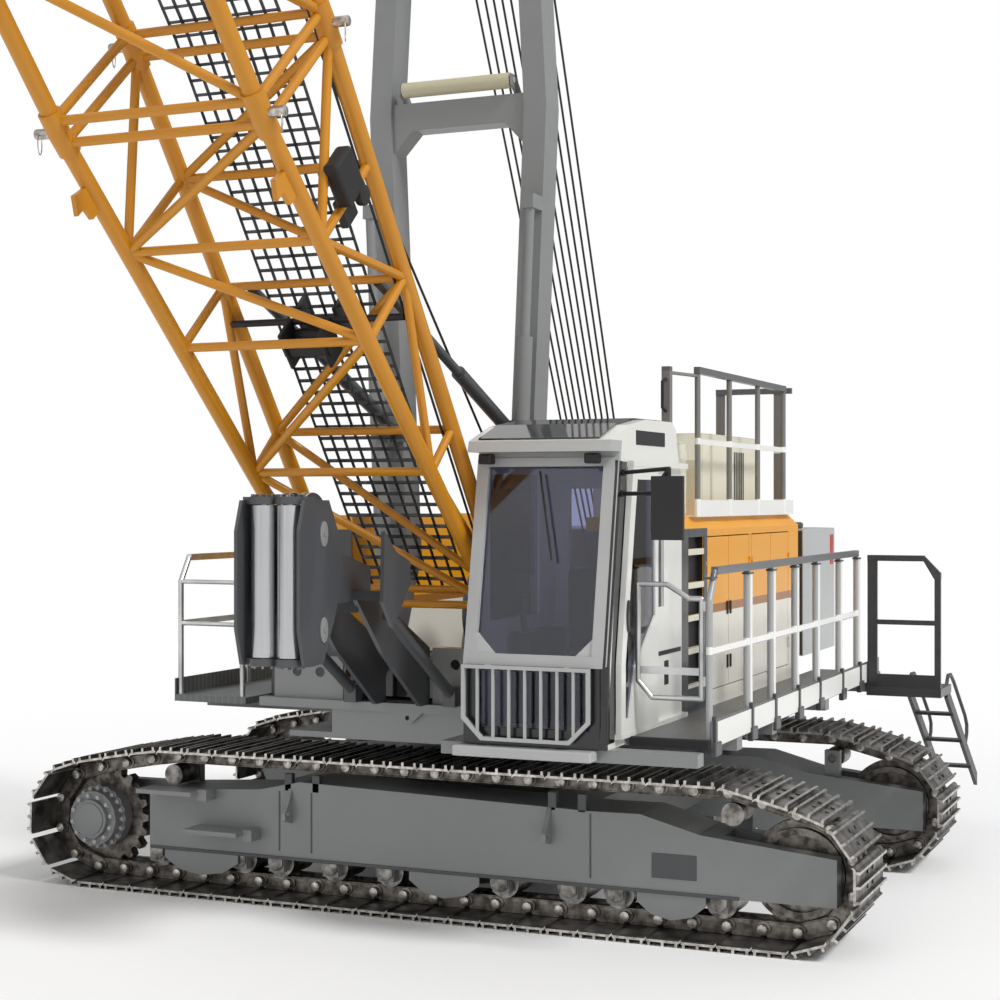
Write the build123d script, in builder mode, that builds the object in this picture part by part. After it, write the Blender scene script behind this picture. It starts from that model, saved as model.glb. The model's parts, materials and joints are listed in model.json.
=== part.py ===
from build123d import *
import math
import os

# Crawler crane for duty-cycle work, in millimetres.
# Origin: on the ground under the slewing axis. +Z up, -Y to the front of the upper carriage,
# +X to its left, where the cab stands. The tracks lie along X, across the upper carriage.

# Tracks
GAUGE = 2860  # between the track centre lines
SHOE_COUNT = 56
LINK_PITCH = 228.6
SHOE_WIDTH = 800
SHOE_THICK = 16
GROUSER_HEIGHT = 26
PIN_LIFT = 62  # of the pins over the shoe plate
PIN_RADIUS = 364  # of the pin line round sprocket and idler
SPROCKET_X = -2640
IDLER_X = 2645
CARRIER_XS = (-2000, 2215)
TOP_PIN_Z = 954  # pin line over the carrier rollers
RAIL_HEIGHT = 50  # of the links' rail over the pin line
RAIL_THICK = 42
RAIL_PITCH = 150  # between the two rails' centres
RUN_GAP = 0.3  # between a roller and its rail, and in the hinges' bores
ROLLER_RADIUS = 105
ROLLER_XS = (-2073, -1748, -1379, -1076, -643, -214, 249, 647, 1135, 1462, 1810, 2156)
ROLLER_LENGTH = 300
CARRIER_RADIUS = 75
CARRIER_DROP = 14  # under the rails, where the chain turns over the roller
SLOT_HALF = 158  # of the channel over the track rollers
AXLE_RADIUS = 35
COLLAR = 60  # width of a roller's end collar
TEETH = 20
HUB_RADIUS = 228
COVER_RADIUS = 200

# Track frames and car body
FRAME_WIDTH = 500
FRAME_END = 2919
FRAME_START = -2110
FRAME_BOTTOM = 305
FORK_GAP = 250  # for the idler, across
BEAM_X = 980  # cross beams
BEAM_WIDTH = 420
BEAM_BOTTOM = 430
BEAM_TOP = 790
LUG_XS = (-940, 1010)
STEPS = ((-2080, -1620, 730), (-1690, -1250, 470))  # x0, x1, underside z
GUARDS = ((-1675, 305), (245, 260), (1850, 230))  # middle x, half length
DRUM_RADIUS = 800  # body under the slewing ring
RING_RADIUS = 760
RING_BORE = 600
RING_BOTTOM = 1064
RING_SPLIT = 1130
DECK_BOTTOM = 1185

# Upper frame
PLATE = 40  # structural plate
DECK_TOP = 1450
DECK_FRONT = -1760
DECK_REAR = 3420
WEB_X = 530  # inner face of the main webs
SILL_Z = 1305  # cab, houses and walkways stand on this level
SILL_DEPTH = 80
SILL_YS = (-640, 900, 2380)
CAB_SILL_YS = (-2340, -1500)

# Boom, along its own axis from the foot hinge
HINGE_Y = -1143
HINGE_Z = 1622
BOOM_ANGLE = 47.4
BOOM_HALF = 630  # chord centre to the middle
BOOM_DEPTH = 460
CHORD_RADIUS = 50
BRACE_RADIUS = 27
FOOT_LENGTH = 4750
INSERT_LENGTH = 3000
HEAD_LENGTH = 5000
LUG_LENGTH = 560  # of the plates at the foot
LUG_WIDTH = 120
LUG_RADIUS = 125
HINGE_PIN = 60
SHEAVE_RADIUS = 330
SHEAVE_WIDTH = 50

# A-frame
MAST_FOOT_X = 470
MAST_LUG = 110
MAST_KNEE = (610, 5600)  # x and z of a leg's centre at the cross beam
MAST_TOP = (480, 8000)
MAST_START_Z = 2300
LEG_WIDTH = 170
LEG_FRONT = -950
LEG_DEPTH = 240
MAST_BEAM = 200

# Cab
CAB_X0 = 740
CAB_X1 = 1690
CAB_FRONT = -2440
CAB_BACK = -960
CAB_LEAN = 240  # of the front, back from the windscreen's foot to the roof
CAB_LIP_Z = 3120
CAB_TOP = 3340
CAB_WALL = 50
SILL_GLASS = 1815  # lower edge of the windscreen
GLASS_TOP = 3060
CORNER_CUT = 130  # of the windscreen's and the guard's lower corners
GLASS = 10
PILLAR = 80
DOOR_Y0 = -2290
DOOR_Y1 = -1580
DOOR_Z0 = 1386
DOOR_Z1 = 3030

# Houses
HOUSE_X0 = 930
HOUSE_X1 = 1620
HOUSE_FRONT = -780
HOUSE_BACK = 2500
HOUSE_TOP = 2700
HOUSE_WALL = 40
LEAF_START = -170
LEAF_PAIRS = 2
PAIR_PITCH = 1200
PAIR_POST = 60
LEAF_GAP = 8
KNUCKLE = 7.5  # radius of the hinges' knuckles
KNUCKLE_X = HOUSE_X1 + 8
KNUCKLE_HALF = 30
LEAF_Z0 = 1440
LEAF_Z1 = 2560

# Walkways
WALK_X = 2250
WALK_FLOOR = 1355
WALK_THICK = 50
WALK_FRONT = -2100
WALK_BACK = 2800
TOE_BOARD = 120
RIGHT_WALK_FRONT = -1150
RAIL_TOP = 2385
RAIL_MID = 1890
TUBE = 21
RAIL_X = 2220  # of the walkways' railings

# Winches
DRUMS = (  # name, y, z, barrel radius
    ("hoist_drum_front", 300, 1950, 270),
    ("hoist_drum_rear", 1320, 1950, 270),
    ("luffing_drum", 2420, 1900, 220),
)
FLANGE = 110  # of a drum over its barrel
FLANGE_THICK = 30
WINCH_X = 380
WINCH_PLATE = 36

# Fairlead
GUIDE_Y = -3450
GUIDE_X = 90
GUIDE_RADIUS = 82
GUIDE_Z0 = 1894
GUIDE_Z1 = 2790

PIN_Z = GROUSER_HEIGHT + SHOE_THICK + PIN_LIFT
AXLE_Z = PIN_Z + PIN_RADIUS
BOOM_LENGTH = FOOT_LENGTH + INSERT_LENGTH + HEAD_LENGTH
SLOPE = math.radians(BOOM_ANGLE)
BOOM = Plane(
    origin=(0, HINGE_Y, HINGE_Z), x_dir=(1, 0, 0), z_dir=(0, -math.cos(SLOPE), math.sin(SLOPE))
)


def block(x0, x1, y0, y1, z0, z1, mode=Mode.ADD):
    """A box between two corners."""
    with Locations(((x0 + x1) / 2, (y0 + y1) / 2, (z0 + z1) / 2)):
        Box(abs(x1 - x0), abs(y1 - y0), abs(z1 - z0), mode=mode)


def plate(plane, points, thickness, mode=Mode.ADD):
    """An outline on a plane, extruded along the plane's normal."""
    with BuildSketch(plane) as outline:
        with BuildLine():
            Polyline(*points, close=True)
        make_face()
    extrude(outline.sketch, amount=thickness, mode=mode)


def side_plate(points, x0, x1, mode=Mode.ADD):
    """An outline of (y, z) points from x0 to x1."""
    plate(Plane.YZ.offset(x0), points, x1 - x0, mode)


def front_plate(points, y0, y1, mode=Mode.ADD):
    """An outline of (x, z) points from y0 to y1."""
    plate(Plane.XZ.offset(-y0), points, y0 - y1, mode)


def boom_side(x):
    """The plane of (n, s) points across the boom at x: n to its back, s along it."""
    return Plane(origin=BOOM.from_local_coords((x, 0, 0)), x_dir=BOOM.y_dir, z_dir=(1, 0, 0))


def rod(a, b, radius):
    """A round bar from a to b."""
    a, b = Vector(*a), Vector(*b)
    return Solid.make_cylinder(radius, (b - a).length, Plane(origin=a, z_dir=b - a))


def disc_x(x0, x1, y, z, radius):
    """A cylinder about a line along X."""
    return rod((x0, y, z), (x1, y, z), radius)


def disc_y(y0, y1, x, z, radius):
    """A cylinder about a line along Y."""
    return rod((x, y0, z), (x, y1, z), radius)


def rope_drum(x0, x1, y, z, barrel, flange, rim):
    """A barrel with a flange at each end, about a line along X."""
    return [
        disc_x(x0, x1, y, z, barrel),
        disc_x(x0, x0 + rim, y, z, flange),
        disc_x(x1 - rim, x1, y, z, flange),
    ]


def save(part, name):
    part.label = name
    export_step(part, f"parts/{name}.step")


def tangent_angle(centre, point, side):
    """Angle on the pin circle where the line to a point above it touches."""
    run, rise = point[0] - centre[0], point[1] - centre[1]
    return math.atan2(rise, run) + side * math.acos(PIN_RADIUS / math.hypot(run, rise))


def track_pins():
    """The (x, z) places of one track's pins, from the idler's underside backwards."""
    sprocket, idler = (SPROCKET_X, AXLE_Z), (IDLER_X, AXLE_Z)
    carriers = [(x, TOP_PIN_Z) for x in CARRIER_XS]
    up = math.degrees(tangent_angle(sprocket, carriers[0], 1))
    down = math.degrees(tangent_angle(idler, carriers[1], -1))
    with BuildLine() as loop:
        Line((IDLER_X, PIN_Z), (SPROCKET_X, PIN_Z))
        rear = CenterArc(sprocket, PIN_RADIUS, 270, up - 270)
        Polyline(rear @ 1, carriers[0], carriers[1])
        front = CenterArc(idler, PIN_RADIUS, down, -90 - down)
        Line(carriers[1], front @ 0)
    wire = loop.wire()
    points = [wire.position_at(k / SHOE_COUNT) for k in range(SHOE_COUNT)]
    if points[1].X > points[0].X:
        points = points[:1] + points[:0:-1]
    return points


def outward(a, b):
    along = (b - a).normalized()
    return Vector(-along.Y, along.X)


def offset_loop(pins, offset):
    """The pins' polygon moved outwards with mitred corners."""
    moved = []
    for k, pin in enumerate(pins):
        before = outward(pins[k - 1], pin)
        after = outward(pin, pins[(k + 1) % len(pins)])
        mitre = before + after
        moved.append(pin + mitre * (2 * offset / mitre.length**2))
    return moved


def shoe_loop(pins):
    """The outer line of all shoes, with three grousers on each."""
    face, tip = PIN_LIFT + SHOE_THICK, PIN_LIFT + SHOE_THICK + GROUSER_HEIGHT
    # share of the pitch from the shoe's middle, height over the pin line
    profile = (
        (-0.46, face),
        (-0.40, tip),
        (-0.34, face),
        (-0.06, face),
        (0.00, tip),
        (0.06, face),
        (0.34, face),
        (0.40, tip),
        (0.46, face),
    )
    points = []
    for k, pin in enumerate(pins):
        after = pins[(k + 1) % len(pins)]
        normal = outward(pin, after)
        for share, height in profile:
            points.append(pin + (after - pin) * (0.5 + share) + normal * height)
    return points


def loop_band(outer, inner, y0, y1):
    """A closed band between two loops of (x, z) points, from y0 to y1."""
    with BuildSketch(Plane.XZ.offset(-y0)) as band:
        with BuildLine():
            Polyline(*[(p.X, p.Y) for p in outer], close=True)
        make_face()
        with BuildLine():
            Polyline(*[(p.X, p.Y) for p in inner], close=True)
        make_face(mode=Mode.SUBTRACT)
    extrude(band.sketch, amount=y0 - y1)


os.makedirs("parts", exist_ok=True)

# Undercarriage, one set for each side: name, y of the track's centre, direction outwards
PINS = track_pins()
for side, centre, out in (("right", -GAUGE / 2, -1), ("left", GAUGE / 2, 1)):
    # Track: shoes as one closed loop, with the two rails of its links
    with BuildPart() as track:
        loop_band(
            shoe_loop(PINS),
            offset_loop(PINS, PIN_LIFT),
            centre - SHOE_WIDTH / 2,
            centre + SHOE_WIDTH / 2,
        )
        for rail in (-1, 1):
            middle = centre + rail * RAIL_PITCH / 2
            loop_band(
                offset_loop(PINS, PIN_LIFT),
                offset_loop(PINS, -RAIL_HEIGHT),
                middle - RAIL_THICK / 2,
                middle + RAIL_THICK / 2,
            )
    save(track.part, f"track_{side}")

    # Sprocket: a toothed disc that runs between the rails
    tooth_half = (RAIL_PITCH - RAIL_THICK) / 2 - 15
    tread = PIN_RADIUS * math.cos(LINK_PITCH / (2 * PIN_RADIUS)) - RAIL_HEIGHT - 8
    with BuildPart() as sprocket:
        with BuildSketch(Plane.XZ.offset(-(centre + tooth_half))):
            with Locations((SPROCKET_X, AXLE_Z)):
                Circle(PIN_RADIUS - 40)
                with PolarLocations(PIN_RADIUS - 20, TEETH):
                    Trapezoid(70, 56, 75, rotation=-90)
                Circle(HUB_RADIUS + RUN_GAP, mode=Mode.SUBTRACT)
        extrude(amount=2 * tooth_half)
    save(sprocket.part, f"sprocket_{side}")

    # Idler: a wheel with a centre flange between the rails
    rail_outer = (RAIL_PITCH + RAIL_THICK) / 2
    flange_half = (RAIL_PITCH - RAIL_THICK) / 2 - 6
    with BuildPart() as idler:
        add(disc_y(centre - rail_outer, centre + rail_outer, IDLER_X, AXLE_Z, tread))
        add(disc_y(centre - flange_half, centre + flange_half, IDLER_X, AXLE_Z, PIN_RADIUS - 30))
        for face in (-1, 1):
            y = centre + face * rail_outer
            add(
                disc_y(y - face * 40, y, IDLER_X, AXLE_Z, tread - 45),
                mode=Mode.SUBTRACT,
            )
        add(disc_y(centre - FORK_GAP / 2, centre + FORK_GAP / 2, IDLER_X, AXLE_Z, 110))
    save(idler.part, f"idler_{side}")

    # Track rollers and carrier rollers with their axles
    roller_z = PIN_Z + RAIL_HEIGHT + RUN_GAP + ROLLER_RADIUS
    carrier_z = TOP_PIN_Z - RAIL_HEIGHT - CARRIER_DROP - CARRIER_RADIUS
    half = ROLLER_LENGTH / 2
    with BuildPart() as rollers:
        for x in ROLLER_XS:
            add(disc_y(centre - half, centre + half, x, roller_z, ROLLER_RADIUS))
            add(disc_y(centre - half - COLLAR, centre + half + COLLAR, x, roller_z, AXLE_RADIUS))
        for x in CARRIER_XS:
            add(disc_y(centre - 110, centre + 110, x, carrier_z, CARRIER_RADIUS))
            add(disc_y(centre - out * 200, centre + out * 110, x, carrier_z, AXLE_RADIUS))
    save(rollers.part, f"rollers_{side}")

    # Track frame: box beam, idler fork, roller collars, drive housing
    inner, outer = centre - FRAME_WIDTH / 2, centre + FRAME_WIDTH / 2
    inboard = centre - out * FRAME_WIDTH / 2
    with BuildPart() as frame:
        front_plate(
            [
                (FRAME_START, 722),
                (-1187, 780),
                (-864, 850),
                (1297, 795),
                (1641, 800),
                (2042, 693),
                (FRAME_END, 604),
                (FRAME_END, FRAME_BOTTOM),
                (FRAME_START, FRAME_BOTTOM),
            ],
            inner,
            outer,
        )
        block(
            IDLER_X - PIN_RADIUS - 120,
            FRAME_END,
            centre - FORK_GAP / 2,
            centre + FORK_GAP / 2,
            0,
            TOP_PIN_Z,
            Mode.SUBTRACT,
        )
        block(
            FRAME_START - 1,
            ROLLER_XS[-1] + ROLLER_RADIUS + 20,
            centre - SLOT_HALF,
            centre + SLOT_HALF,
            0,
            roller_z + ROLLER_RADIUS + 20,
            Mode.SUBTRACT,
        )
        # collars that hold the rollers' axles under the frame
        for x in ROLLER_XS:
            for end in (-1, 1):
                y = centre + end * (half + COLLAR / 2)
                block(x - 60, x + 60, y - COLLAR / 2, y + COLLAR / 2, roller_z - 60, 400)
                add(
                    disc_y(y - COLLAR / 2, y + COLLAR / 2, x, roller_z, AXLE_RADIUS + RUN_GAP),
                    mode=Mode.SUBTRACT,
                )
        for x in CARRIER_XS:
            y0, y1 = sorted((centre - out * 150, centre - out * 215))
            block(x - 60, x + 60, y0, y1, 640, carrier_z + 60)
            add(disc_y(y0, y1, x, carrier_z, AXLE_RADIUS + RUN_GAP), mode=Mode.SUBTRACT)
        # lifting lugs, folding steps and chain guards on the outer side
        face = centre + out * FRAME_WIDTH / 2
        for x in LUG_XS:
            lug = [(0, 800), (60, 690), (100, 640), (100, 590), (0, 560)]
            side_plate([(face + out * reach, z) for reach, z in lug], x - 15, x + 15)
            eye = disc_x(x - 15, x + 15, face + out * 58, 632, 24)
            add(eye, mode=Mode.SUBTRACT)
        for x0, x1, z in STEPS:
            y0, y1 = sorted((face, face + out * 220))
            block(x0, x1, y0, y1, z, z + 30)
            block(x1, x1 + 70, *sorted((face, face + out * 130)), z - 40, z + 40)
        for middle, reach in GUARDS:
            for y0, y1 in ((inner, inner + 15), (outer - 15, outer)):
                front_plate(
                    [
                        (middle - reach, FRAME_BOTTOM + 20),
                        (middle - reach, 240),
                        (middle - reach * 0.6, 165),
                        (middle, 135),
                        (middle + reach * 0.6, 165),
                        (middle + reach, 240),
                        (middle + reach, FRAME_BOTTOM + 20),
                    ],
                    y0,
                    y1,
                )
        # arm on the inboard side out to the final drive
        y0, y1 = sorted((inboard, inboard + out * 90))
        front_plate(
            [
                (FRAME_START + 300, 735),
                (FRAME_START, 722),
                (SPROCKET_X, AXLE_Z + 250),
                (SPROCKET_X - 190, AXLE_Z + 160),
                (SPROCKET_X - 250, AXLE_Z),
                (SPROCKET_X - 190, AXLE_Z - 160),
                (SPROCKET_X, FRAME_BOTTOM),
                (FRAME_START + 300, FRAME_BOTTOM),
            ],
            y0,
            y1,
        )
        add(disc_y(inboard, centre + out * 130, SPROCKET_X, AXLE_Z, HUB_RADIUS))
        add(disc_y(centre + out * 130, centre + out * 210, SPROCKET_X, AXLE_Z, COVER_RADIUS))
        add(disc_y(centre + out * 210, centre + out * 250, SPROCKET_X, AXLE_Z, COVER_RADIUS - 60))
    save(frame.part, f"track_frame_{side}")

# Car body: two cross beams and a drum that carries the slewing ring
beam_end = GAUGE / 2 - FRAME_WIDTH / 2
with BuildPart() as car_body:
    for x in (-BEAM_X, BEAM_X):
        block(x - BEAM_WIDTH / 2, x + BEAM_WIDTH / 2, -beam_end, beam_end, BEAM_BOTTOM, BEAM_TOP)
    block(-BEAM_X, BEAM_X, -620, 620, BEAM_BOTTOM + 60, BEAM_TOP + 60)
    with BuildSketch(Plane.XY.offset(BEAM_TOP)) as base:
        Circle(DRUM_RADIUS + 120)
    with BuildSketch(Plane.XY.offset(RING_BOTTOM - 40)) as seat:
        Circle(DRUM_RADIUS)
    loft([base.sketch.face(), seat.sketch.face()])
    with Locations((0, 0, RING_BOTTOM - 20)):
        Cylinder(DRUM_RADIUS, 40)
save(car_body.part, "car_body")

with BuildPart() as slew_ring:
    with Locations((0, 0, (RING_BOTTOM + RING_SPLIT) / 2)):
        Cylinder(RING_RADIUS, RING_SPLIT - RING_BOTTOM)
        Cylinder(RING_BORE, RING_SPLIT - RING_BOTTOM, mode=Mode.SUBTRACT)
save(slew_ring.part, "slew_ring")

# Upper frame: bottom plate on the upper ring, two webs, deck, hinge brackets, cross members
web_out = WEB_X + PLATE - 4
bracket_in = BOOM_HALF + LUG_WIDTH / 2 + 6
with BuildPart() as deck_frame:
    with Locations((0, 0, (RING_SPLIT + RUN_GAP + DECK_BOTTOM) / 2)):
        Cylinder(RING_RADIUS - 20, DECK_BOTTOM - RING_SPLIT - RUN_GAP)
    block(-900, 900, DECK_FRONT, 1500, DECK_BOTTOM, DECK_BOTTOM + PLATE)
    block(-web_out, web_out, 1500, DECK_REAR, DECK_BOTTOM, DECK_BOTTOM + PLATE)
    block(-web_out, web_out, -560, DECK_REAR, DECK_TOP - PLATE, DECK_TOP)
    for s in (-1, 1):
        x0, x1 = sorted((s * WEB_X, s * web_out))
        side_plate(
            [
                (DECK_FRONT, DECK_BOTTOM),
                (DECK_REAR, DECK_BOTTOM),
                (DECK_REAR, DECK_TOP),
                (-560, DECK_TOP),
                (HINGE_Y + 130, HINGE_Z + 110),
                (HINGE_Y - 110, HINGE_Z + 110),
                (DECK_FRONT, DECK_TOP - 40),
            ],
            x0,
            x1,
        )
        x0, x1 = sorted((s * bracket_in, s * (bracket_in + PLATE)))
        side_plate(
            [
                (HINGE_Y - 420, DECK_BOTTOM),
                (HINGE_Y + 420, DECK_BOTTOM),
                (HINGE_Y + 130, HINGE_Z + 110),
                (HINGE_Y - 110, HINGE_Z + 110),
            ],
            x0,
            x1,
        )
        pin_end = bracket_in + PLATE
        pin_start = MAST_FOOT_X - MAST_LUG / 2 - 46
        x0, x1 = sorted((s * pin_start, s * pin_end))
        add(disc_x(x0, x1, HINGE_Y, HINGE_Z, HINGE_PIN))
        # inner bracket of the A-frame's foot
        x0, x1 = sorted((s * pin_start, s * (pin_start + PLATE)))
        side_plate(
            [
                (HINGE_Y - 300, DECK_BOTTOM),
                (HINGE_Y + 300, DECK_BOTTOM),
                (HINGE_Y + 110, HINGE_Z + 110),
                (HINGE_Y - 110, HINGE_Z + 110),
            ],
            x0,
            x1,
        )
    for y in SILL_YS:
        block(-WALK_X, WALK_X, y - 60, y + 60, SILL_Z - SILL_DEPTH, SILL_Z)
    for y in CAB_SILL_YS:
        block(web_out, WALK_X, y - 60, y + 60, SILL_Z - SILL_DEPTH, SILL_Z)
    block(web_out, web_out + 160, CAB_SILL_YS[0] - 60, DECK_FRONT + 40, SILL_Z - SILL_DEPTH, SILL_Z)
    block(-web_out, web_out, DECK_FRONT, DECK_FRONT + 60, DECK_BOTTOM, DECK_TOP - 40)
    # front beam with its pulling lug, and the plates on it at both sides
    block(-1120, CAB_X0 - 20, DECK_FRONT - 40, DECK_FRONT + 40, DECK_TOP - 60, DECK_TOP)
    pull = [(-90, DECK_TOP - 50), (150, DECK_TOP - 50), (60, 1320), (0, 1320)]
    front_plate(pull, DECK_FRONT - 40, DECK_FRONT - 10)
    add(disc_y(DECK_FRONT - 40, DECK_FRONT - 10, 30, 1355, 16), mode=Mode.SUBTRACT)
    for x0, x1, top in ((-1020, -480, 1745), (200, 700, 1830)):
        block(x0, x1, DECK_FRONT, DECK_FRONT + 20, DECK_TOP - 10, top)
        for k in (1, 2):
            x = x0 + (x1 - x0) * k / 3
            eye = disc_y(DECK_FRONT, DECK_FRONT + 20, x, top - 110, 36)
            add(eye, mode=Mode.SUBTRACT)
save(deck_frame.part, "deck_frame")

WEIGHT_HALF = 1550
WEIGHT_FRONT = 2950
WEIGHT_BACK = 4560
with BuildPart() as counterweight:
    side_plate(
        [
            (WEIGHT_FRONT, DECK_TOP),
            (WEIGHT_BACK - 120, DECK_TOP),
            (WEIGHT_BACK, 1600),
            (WEIGHT_BACK, 2450),
            (WEIGHT_BACK - 110, 2560),
            (WEIGHT_FRONT, 2560),
        ],
        -WEIGHT_HALF,
        WEIGHT_HALF,
    )
    # rear corners cut off
    for s in (-1, 1):
        plate(
            Plane.XY.offset(DECK_BOTTOM),
            [
                (s * WEIGHT_HALF, WEIGHT_BACK - 400),
                (s * (WEIGHT_HALF - 330), WEIGHT_BACK),
                (s * (WEIGHT_HALF + 50), WEIGHT_BACK + 50),
            ],
            HOUSE_TOP,
            Mode.SUBTRACT,
        )
save(counterweight.part, "counterweight")

# Cab: shell, guard, glass, door, seat, console, mirror


def lean(z):
    """How far back the cab's front lies at a height."""
    return CAB_LEAN * max(0, z - SILL_GLASS) / (CAB_LIP_Z - SILL_GLASS)


# side profile, from the floor round the roof's curve, as (y, z)
ROOF_LINE = [(-2360, 3190), (-2050, 3290), (-1720, 3335), (-1170, CAB_TOP)]
cab_side = [
    (CAB_FRONT, SILL_Z),
    (CAB_FRONT, SILL_GLASS),
    (CAB_FRONT + CAB_LEAN, CAB_LIP_Z),
    (CAB_FRONT + 60, CAB_LIP_Z),
    *ROOF_LINE,
    (-1080, 3290),
    (-1050, 3150),
    (CAB_BACK, 2960),
    (CAB_BACK, SILL_Z),
]
cab_inside = [
    (CAB_FRONT + CAB_WALL, SILL_Z + 60),
    (CAB_FRONT + CAB_WALL, SILL_GLASS),
    (CAB_FRONT + CAB_LEAN + CAB_WALL, CAB_LIP_Z),
    (-2050, 3235),
    (-1720, 3280),
    (-1170, 3285),
    (CAB_BACK - CAB_WALL, 2950),
    (CAB_BACK - CAB_WALL, SILL_Z + 60),
]
windscreen = [
    (CAB_X0 + PILLAR, GLASS_TOP),
    (CAB_X0 + PILLAR, SILL_GLASS + 50 + CORNER_CUT),
    (CAB_X0 + PILLAR + CORNER_CUT, SILL_GLASS + 50),
    (CAB_X1 - PILLAR - CORNER_CUT, SILL_GLASS + 50),
    (CAB_X1 - PILLAR, SILL_GLASS + 50 + CORNER_CUT),
    (CAB_X1 - PILLAR, GLASS_TOP),
]
# windows in the straight walls: x0, x1, y0, y1, z0, z1 of each opening
LOW_WINDOW = (CAB_X0 + 110, CAB_X1 - 110, CAB_FRONT, CAB_FRONT, SILL_Z + 110, SILL_GLASS - 50)
REAR_WINDOW = (CAB_X0 + 150, CAB_X1 - 150, CAB_BACK, CAB_BACK, 2300, 2900)
RIGHT_WINDOW = (CAB_X0, CAB_X0, -2140, -1300, 2050, 2990)
LEFT_WINDOW = (CAB_X1, CAB_X1, DOOR_Y1 + 80, DOOR_Y1 + 240, 2120, 2960)
ROOF_WINDOW = (CAB_X0 + 140, CAB_X1 - 140, -2240, -1560)
leaf_in, leaf_out = CAB_X1 + 6, CAB_X1 + 42


def door_outline(inset, z0, z1):
    """The door's outline between two heights, its front edge parallel to the pillar."""
    return [
        (DOOR_Y0 + inset, z0),
        (DOOR_Y1 - inset, z0),
        (DOOR_Y1 - inset, z1),
        (DOOR_Y0 + inset + lean(z1), z1),
        (DOOR_Y0 + inset, SILL_GLASS),
    ]


with BuildPart() as cab_shell:
    side_plate(cab_side, CAB_X0, CAB_X1)
    side_plate(cab_inside, CAB_X0 + CAB_WALL, CAB_X1 - CAB_WALL, Mode.SUBTRACT)
    front_reach = CAB_FRONT + CAB_LEAN + CAB_WALL
    front_plate(windscreen, CAB_FRONT - 1, front_reach, Mode.SUBTRACT)
    for x0, x1, y0, y1, z0, z1 in (LOW_WINDOW, REAR_WINDOW, RIGHT_WINDOW, LEFT_WINDOW):
        grow_x = CAB_WALL + 1 if x0 == x1 else 0
        grow_y = CAB_WALL + 1 if y0 == y1 else 0
        block(x0 - grow_x, x1 + grow_x, y0 - grow_y, y1 + grow_y, z0, z1, Mode.SUBTRACT)
    x0, x1, y0, y1 = ROOF_WINDOW
    block(x0, x1, y0, y1, CAB_LIP_Z, CAB_TOP + 1, Mode.SUBTRACT)
    # doorway on the left
    doorway = door_outline(40, SILL_Z + 60, CAB_LIP_Z - 110)
    side_plate(doorway, CAB_X1 - CAB_WALL, CAB_X1 + 1, Mode.SUBTRACT)
    # rails of the sliding door
    for z0, z1 in ((DOOR_Z0 - 30, DOOR_Z0 - RUN_GAP), (DOOR_Z1 + RUN_GAP, DOOR_Z1 + 36)):
        start = DOOR_Y0 + lean(z0)
        block(CAB_X1, CAB_X1 + 44, start, CAB_BACK, z0, z1)
save(cab_shell.part, "cab_shell")

glass_in = (CAB_WALL - GLASS) / 2
glass_out = glass_in + GLASS
with BuildPart() as screen:
    side_plate(
        [
            (CAB_FRONT + glass_in, SILL_GLASS),
            (CAB_FRONT + glass_in + lean(GLASS_TOP), GLASS_TOP),
            (CAB_FRONT + glass_out + lean(GLASS_TOP), GLASS_TOP),
            (CAB_FRONT + glass_out, SILL_GLASS),
        ],
        CAB_X0,
        CAB_X1,
    )
    front_plate(windscreen, CAB_FRONT - 1, front_reach, Mode.INTERSECT)
with BuildPart() as roof_glass:
    side_plate(
        [(y, z - glass_in) for y, z in ROOF_LINE]
        + [(y, z - glass_out) for y, z in reversed(ROOF_LINE)],
        ROOF_WINDOW[0],
        ROOF_WINDOW[1],
    )
    block(*ROOF_WINDOW, CAB_LIP_Z, CAB_TOP, Mode.INTERSECT)
with BuildPart() as cab_glass:
    add(screen.part)
    add(roof_glass.part)
    for x0, x1, y0, y1, z0, z1 in (LOW_WINDOW, REAR_WINDOW, RIGHT_WINDOW, LEFT_WINDOW):
        if x0 == x1:
            into = 1 if x0 == CAB_X0 else -1
            x0, x1 = sorted((x0 + into * glass_in, x0 + into * glass_out))
        else:
            into = 1 if y0 == CAB_FRONT else -1
            y0, y1 = sorted((y0 + into * glass_in, y0 + into * glass_out))
        block(x0, x1, y0, y1, z0, z1)
save(cab_glass.part, "cab_glass")

# Door leaf, which slides back along the outside of the cab; its window reaches the floor in front
door_window = [
    (DOOR_Y0 + 80, DOOR_Z0 + 90),
    (DOOR_Y0 + 150, DOOR_Z0 + 90),
    (DOOR_Y0 + 260, 1780),
    (DOOR_Y1 - 60, 2080),
    (DOOR_Y1 - 60, DOOR_Z1 - 80),
    (DOOR_Y0 + 80 + lean(DOOR_Z1), DOOR_Z1 - 80),
    (DOOR_Y0 + 80, SILL_GLASS),
]
with BuildPart() as cab_door:
    side_plate(door_outline(0, DOOR_Z0, DOOR_Z1), leaf_in, leaf_out)
    side_plate(door_window, leaf_in, leaf_out, Mode.SUBTRACT)
save(cab_door.part, "cab_door")

with BuildPart() as cab_door_glass:
    x = (leaf_in + leaf_out) / 2
    side_plate(door_window, x - GLASS / 2, x + GLASS / 2)
save(cab_door_glass.part, "cab_door_glass")

cab_middle = (CAB_X0 + CAB_X1) / 2
floor_z = SILL_Z + 60
with BuildPart() as cab_seat:
    block(cab_middle - 170, cab_middle + 170, -1660, -1280, floor_z, 1660)
    block(cab_middle - 250, cab_middle + 250, -1740, -1230, 1660, 1780)
    back_rest = [(-1330, 1780), (-1220, 1780), (-1130, 2460), (-1220, 2460)]
    side_plate(back_rest, cab_middle - 240, cab_middle + 240)
    fillet(cab_seat.edges().filter_by(Axis.X).group_by(Axis.Z)[-1], 30)
save(cab_seat.part, "cab_seat")

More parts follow.
